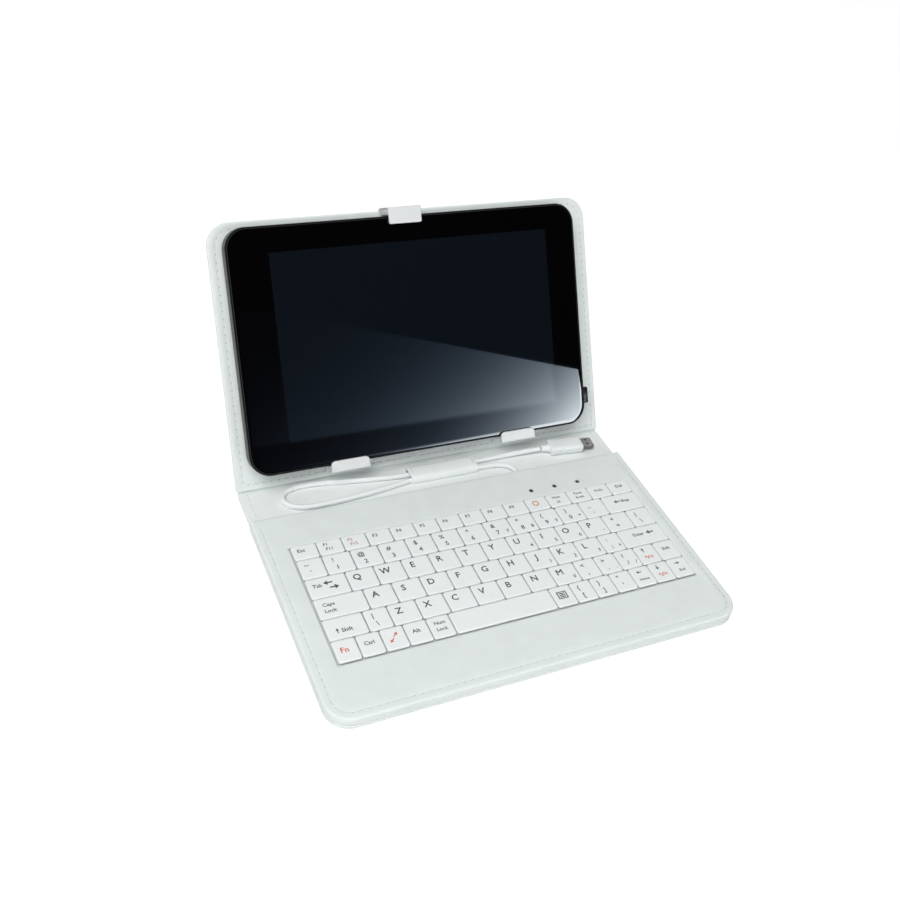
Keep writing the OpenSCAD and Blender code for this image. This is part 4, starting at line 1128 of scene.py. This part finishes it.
class KEYCASE_OT_stand(bpy.types.Operator):
    """The leg behind the lid, its hinge strip and its stay"""

    bl_idname = "keycase.stand"
    bl_label = "Stand"

    def execute(self, context):
        x, up = (-LEG_HALF, LEG_HALF), (LEG_FOOT, -1.2)
        leg = slab(x, up, (-1.3, 1.3), LEG_FACE, LEG_R, 0.75, sewn=[(LEG_SEWN, 0.2)],
                under=[(LEG_SEWN, 0.2)], cuts=8, sides=(20, 30, 20, 30))
        piece("stand_leg_leather", [leg], "case_leather", "kickstand", ["kickstand_leg"])
        fine = rounded(x, up, LEG_R, LEG_SEWN, 12, (6,) * 4)
        sew("stand_leg", "kickstand", [dict(line=at_height(fine, h), place=LEG_FACE, flip=h < 0)
                for h in (1.15, -1.15)])

        lid_part = at([1.95, 1.95, 1.95, 2.0, 2.3], [91.9, 88.0, 84.0, 82.3, 81.2])
        leg_part = at([0.1, 0.0, 0.0], [-0.2, -2.0, -4.0], LEG)
        path = smooth_line(np.concatenate([lid_part, leg_part]), 0.9)
        strip = sweep(ribbon(path, 0.8), np.linspace(-HINGE_HALF, HINGE_HALF, 30), ends=0.3)
        hinge = piece("stand_hinge_leather", [strip], "case_leather", replaces=["kickstand_hinge_strip"],
                sharp=60)
        a, b = at([2.2], [81.6])[0], at([0], [-1.6], LEG)[0]
        blend_between(hinge, a, b)
        sew("stand_hinge", "lid", [dict(line=[[-52.5, h, -2.42], [52.5, h, -2.42]], closed=False,
                place=LID_FACE, flip=True) for h in (90.2, 83.6)])

        low, high = at([0.4 - 1.3 - 0.3], [-38.0], LEG)[0], at([1.9], [36.0])[0]
        tab_low = at([-1.55] * 3, [-46.0, -43.0, -40.4], LEG)
        tab_high = at([1.72] * 3, [27.6, 30.6, 33.6])
        route = [tab_high, [high], [(high + low) / 2], [low], tab_low[::-1]]
        path = smooth_line(np.concatenate(route), 1.0)
        band = sweep(ribbon(path, 0.4), np.linspace(-STAY_HALF, STAY_HALF, 9), ends=0.15)
        stay = piece("stand_stay_tape", [band], "woven_tape", replaces=["kickstand_stay"],
                sharp=60)
        blend_between(stay, high, low)
        return {"FINISHED"}


TABLET_X, TABLET_V, TABLET_R = (-101.25, 93.25), (10.2, 135.2), (11,) * 4


class KEYCASE_OT_tablet(bpy.types.Operator):
    """The tablet: shell, glass and button, and a finish on its display"""

    bl_idname = "keycase.tablet"
    bl_label = "Tablet"

    def execute(self, context):
        line = lambda i: rounded(TABLET_X, TABLET_V, TABLET_R, i, 14, (12, 20, 12, 20))
        profile = [(20, 3.4), (3.4, 3.4), (2.4, 3.5), (1.5, 3.8), (0.8, 4.4), (0.4, 5.2), (0.22, 6.4),
                (0.2, 8), (0.1, 11.9), (0.1, 12.9), (0.2, 13.15), (0.45, 13.22), (0.66, 13.1), (0.7, 12.4),
                (1.5, 12.3), (1.5, 10), (2.5, 10)]
        piece("tablet_case_moulding", [placed(loft(stack(line, profile)), LID_FACE)], "tablet_plastic",
                "tablet", ["tablet_shell"])
        pane = [(3, 12.6), (1.1, 12.6), (0.86, 12.68), (0.8, 12.85), (0.8, 13.05), (0.88, 13.25),
                (1.05, 13.36), (1.3, 13.4), (3, 13.4)]
        piece("tablet_front_glass", [placed(loft(stack(line, pane)), LID_FACE)], "tablet_glass_black",
                "tablet", ["tablet_glass"])
        button = slab((20.8, 30.0), (8.4, 12.2), (92.45, 96.4), LID_SIDE, (0.9,) * 4, 0.3, cuts=4,
                sides=(2,) * 4)
        piece("tablet_button_moulding", [button], "tablet_plastic", "tablet_button", ["tablet_button"])
        dress("display_film", "tablet_display")
        return {"FINISHED"}


class KEYCASE_OT_inside(bpy.types.Operator):
    """Finishes of the parts that lie inside"""

    bl_idname = "keycase.inside"
    bl_label = "Inside parts"

    def execute(self, context):
        dress("cardboard", "keyboard_board", "spine_board", "lid_board", "kickstand_board")
        dress("foam_sheet", "foam_spacer")
        dress("plate_plastic", "keyboard_tray", "key_plate")
        dress("film_plastic", "circuit_film")
        dress("dome_rubber", "rubber_domes")
        dress("board_green", "controller_board")
        dress("rivet_metal", "board_screws")
        return {"FINISHED"}


def window_glow(u, v):
    """The window's glow grows by a constant share for each mm to the right and downwards. Beyond two
    slanting lines, which the glass mirrors at the display's lower and right edges, a share is left that
    grows from 0.31 to 1 with the power 1.5 of the way to the right."""
    way = np.clip((u - 60) / 230, 0, 1)
    below, beside = v - 147.3 + 0.346 * u, u - 238.6 - 0.34 * v
    outside = np.clip(np.maximum(below, beside) / 7 + 0.5, 0, 1)
    glow = np.exp(np.minimum(-1.95 + 0.0137 * u + 0.0104 * v, 3.0))
    return glow * (1 - 0.69 * (1 - way ** 1.5) * outside)


def card(name, origin, along, down, u, v, glow):
    """A card that only reflections see: a grid of points, the origin plus u of along plus v of down, in mm,
    with the glow that a function of u and v gives, bluer where it is dim."""
    u, v = np.meshgrid(u, v)
    points = np.array(origin) + u[..., None] * np.array(along) + v[..., None] * np.array(down)
    rows, columns = u.shape
    k = (np.arange(rows - 1)[:, None] * columns + np.arange(columns - 1)[None]).ravel()
    mesh = bpy.data.meshes.new(name)
    faces = np.stack([k, k + 1, k + columns + 1, k + columns], -1)
    mesh.from_pydata((points.reshape(-1, 3) * MM).tolist(), [], faces.tolist())
    power = (glow(u, v) + 0 * u).ravel()[:, None]
    share = power / (power + 3)
    tinted = np.array([0.46, 0.66, 1.0]) + share * np.array([0.45, 0.31, 0.0])
    layer = mesh.attributes.new("glow", "FLOAT_COLOR", "POINT")
    layer.data.foreach_set("color", np.column_stack([power * 0.91 * tinted / tinted[:, 1:2],
            0 * power + 1]).ravel().astype(np.float32))
    material = bpy.data.materials.new(name)
    n = Nodes(material)
    sky = n.node("ShaderNodeAttribute", attribute_name="glow").outputs["Color"]
    light = n.node("ShaderNodeEmission", {"Color": sky}).outputs["Emission"]
    n.node("ShaderNodeOutputMaterial", {"Surface": light})
    mesh.materials.append(material)
    made = bpy.data.objects.new(name, mesh)
    bpy.context.scene.collection.objects.link(made)
    made.visible_camera = made.visible_diffuse = made.visible_transmission = made.visible_shadow = False
    return made


def lamp(name, place, target, size, power):
    """A square lamp at one point that faces another."""
    light = bpy.data.lights.new(name, "AREA")
    light.shape, light.size, light.energy = "SQUARE", size, power
    made = bpy.data.objects.new(name, light)
    made.location = place
    made.rotation_euler = (Vector(target) - Vector(place)).to_track_quat("-Z", "Y").to_euler()
    made.visible_glossy = False
    bpy.context.scene.collection.objects.link(made)
    return made


FLOOR_HALF, FLOOR_DROP = 3.0, 0.0001


def seen_directly(n):
    """1 where a camera, glossy or transmitted ray looks, and 0 for the light that falls on things"""
    path = n.node("ShaderNodeLightPath").outputs
    return n.math("MAXIMUM", n.math("MAXIMUM", path["Is Camera Ray"], path["Is Glossy Ray"]),
            path["Is Transmission Ray"])


def floor_finish():
    """A white floor that keeps a soft share of the shadow: three quarters plain white glow where it is
    looked at, and the rest lit paper"""
    material = bpy.data.materials.new("floor_paper")
    n = Nodes(material)
    paper = n.node("ShaderNodeBsdfDiffuse", {"Color": (0.86, 0.86, 0.86, 1)}).outputs[0]
    glow = n.node("ShaderNodeEmission", {"Strength": 1.18}).outputs[0]
    both = n.node("ShaderNodeMixShader", {0: n.math("MULTIPLY", seen_directly(n), 0.75), 1: paper,
            2: glow}).outputs[0]
    n.node("ShaderNodeOutputMaterial", {"Surface": both})
    return material


class KEYCASE_OT_studio(bpy.types.Operator):
    """Floor, lamps, reflection cards and the even light from all round"""

    bl_idname = "keycase.studio"
    bl_label = "Studio"

    def execute(self, context):
        studio = context.scene.keycase_studio
        mesh = bpy.data.meshes.new("floor")
        corners = [(x, y, -FLOOR_DROP) for x, y in ((-1, -1), (1, -1), (1, 1), (-1, 1))]
        mesh.from_pydata([(x * FLOOR_HALF, y * FLOOR_HALF, z) for x, y, z in corners], [], [[0, 1, 2, 3]])
        floor = bpy.data.objects.new("floor", mesh)
        context.scene.collection.objects.link(floor)
        mesh.materials.append(floor_finish())

        world = bpy.data.worlds.new("studio")
        context.scene.world = world
        n = Nodes(world)
        fill, white = (n.node("ShaderNodeBackground", {"Color": (1, 1, 1, 1),
                "Strength": strength}).outputs[0] for strength in (studio.fill, 1.0))
        both = n.node("ShaderNodeMixShader", {0: seen_directly(n), 1: fill, 2: white}).outputs[0]
        n.node("ShaderNodeOutputWorld", {"Surface": both})

        # the tablet's glass mirrors these: black, and a window brighter to the right and downwards
        origin = np.array([409.0, -917.4, 517.8])
        along, down = np.array([0.890, 0.183, -0.4175]), np.array([-0.290, -0.479, -0.8284])
        behind = np.cross(down, along)
        behind *= 20 * np.sign(behind @ origin)
        card("black_flag", origin + behind, along, down, np.linspace(-900, 900, 3),
                np.linspace(-1000, 500, 3), lambda u, v: 0 * u)
        card("window_card", origin, along, down, np.linspace(-420, 420, 241), np.linspace(0, 330, 95),
                window_glow)
        lamp("key_lamp", (-0.57, -0.46, 1.22), (0, 0.05, 0), 0.9, studio.key_power)
        lamp("front_lamp", (0.05, -1.15, 0.42), (0, 0.08, 0.03), 0.9, studio.front_power)
        lamp("rear_lamp", (0, 1.4, 0.42), (0, 0.12, 0.06), 0.5, studio.rear_power)
        context.scene.view_settings.view_transform = "Standard"
        return {"FINISHED"}


class KEYCASE_PT_panel(bpy.types.Panel):
    """Sizes, colours and makers of the keyboard case"""

    bl_idname = "KEYCASE_PT_panel"
    bl_label = "Keyboard case"
    bl_space_type = "VIEW_3D"
    bl_region_type = "UI"
    bl_category = "Keyboard case"

    def draw(self, context):
        for group in (context.scene.keycase_sizes, context.scene.keycase_colours,
                context.scene.keycase_studio):
            box = self.layout.box()
            for name in group.__annotations__:
                box.prop(group, name)
        for maker in MAKERS:
            self.layout.operator(maker.bl_idname)


MAKERS = (KEYCASE_OT_camera, KEYCASE_OT_lead, KEYCASE_OT_keyboard_half, KEYCASE_OT_keys, KEYCASE_OT_folds,
        KEYCASE_OT_spine, KEYCASE_OT_lid, KEYCASE_OT_holders, KEYCASE_OT_stand, KEYCASE_OT_tablet,
        KEYCASE_OT_inside, KEYCASE_OT_studio)
CLASSES = (KeycaseSizes, KeycaseColours, KeycaseStudio, *MAKERS, KEYCASE_PT_panel)


def register():
    for cls in CLASSES:
        bpy.utils.register_class(cls)
    bpy.types.Scene.keycase_sizes = PointerProperty(type=KeycaseSizes)
    bpy.types.Scene.keycase_colours = PointerProperty(type=KeycaseColours)
    bpy.types.Scene.keycase_studio = PointerProperty(type=KeycaseStudio)


def unregister():
    for name in ("keycase_sizes", "keycase_colours", "keycase_studio"):
        delattr(bpy.types.Scene, name)
    for cls in reversed(CLASSES):
        bpy.utils.unregister_class(cls)


def main():
    register()
    for maker in MAKERS:
        group, name = maker.bl_idname.split(".")
        getattr(getattr(bpy.ops, group), name)()
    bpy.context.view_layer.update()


if __name__ == "__main__":
    main()
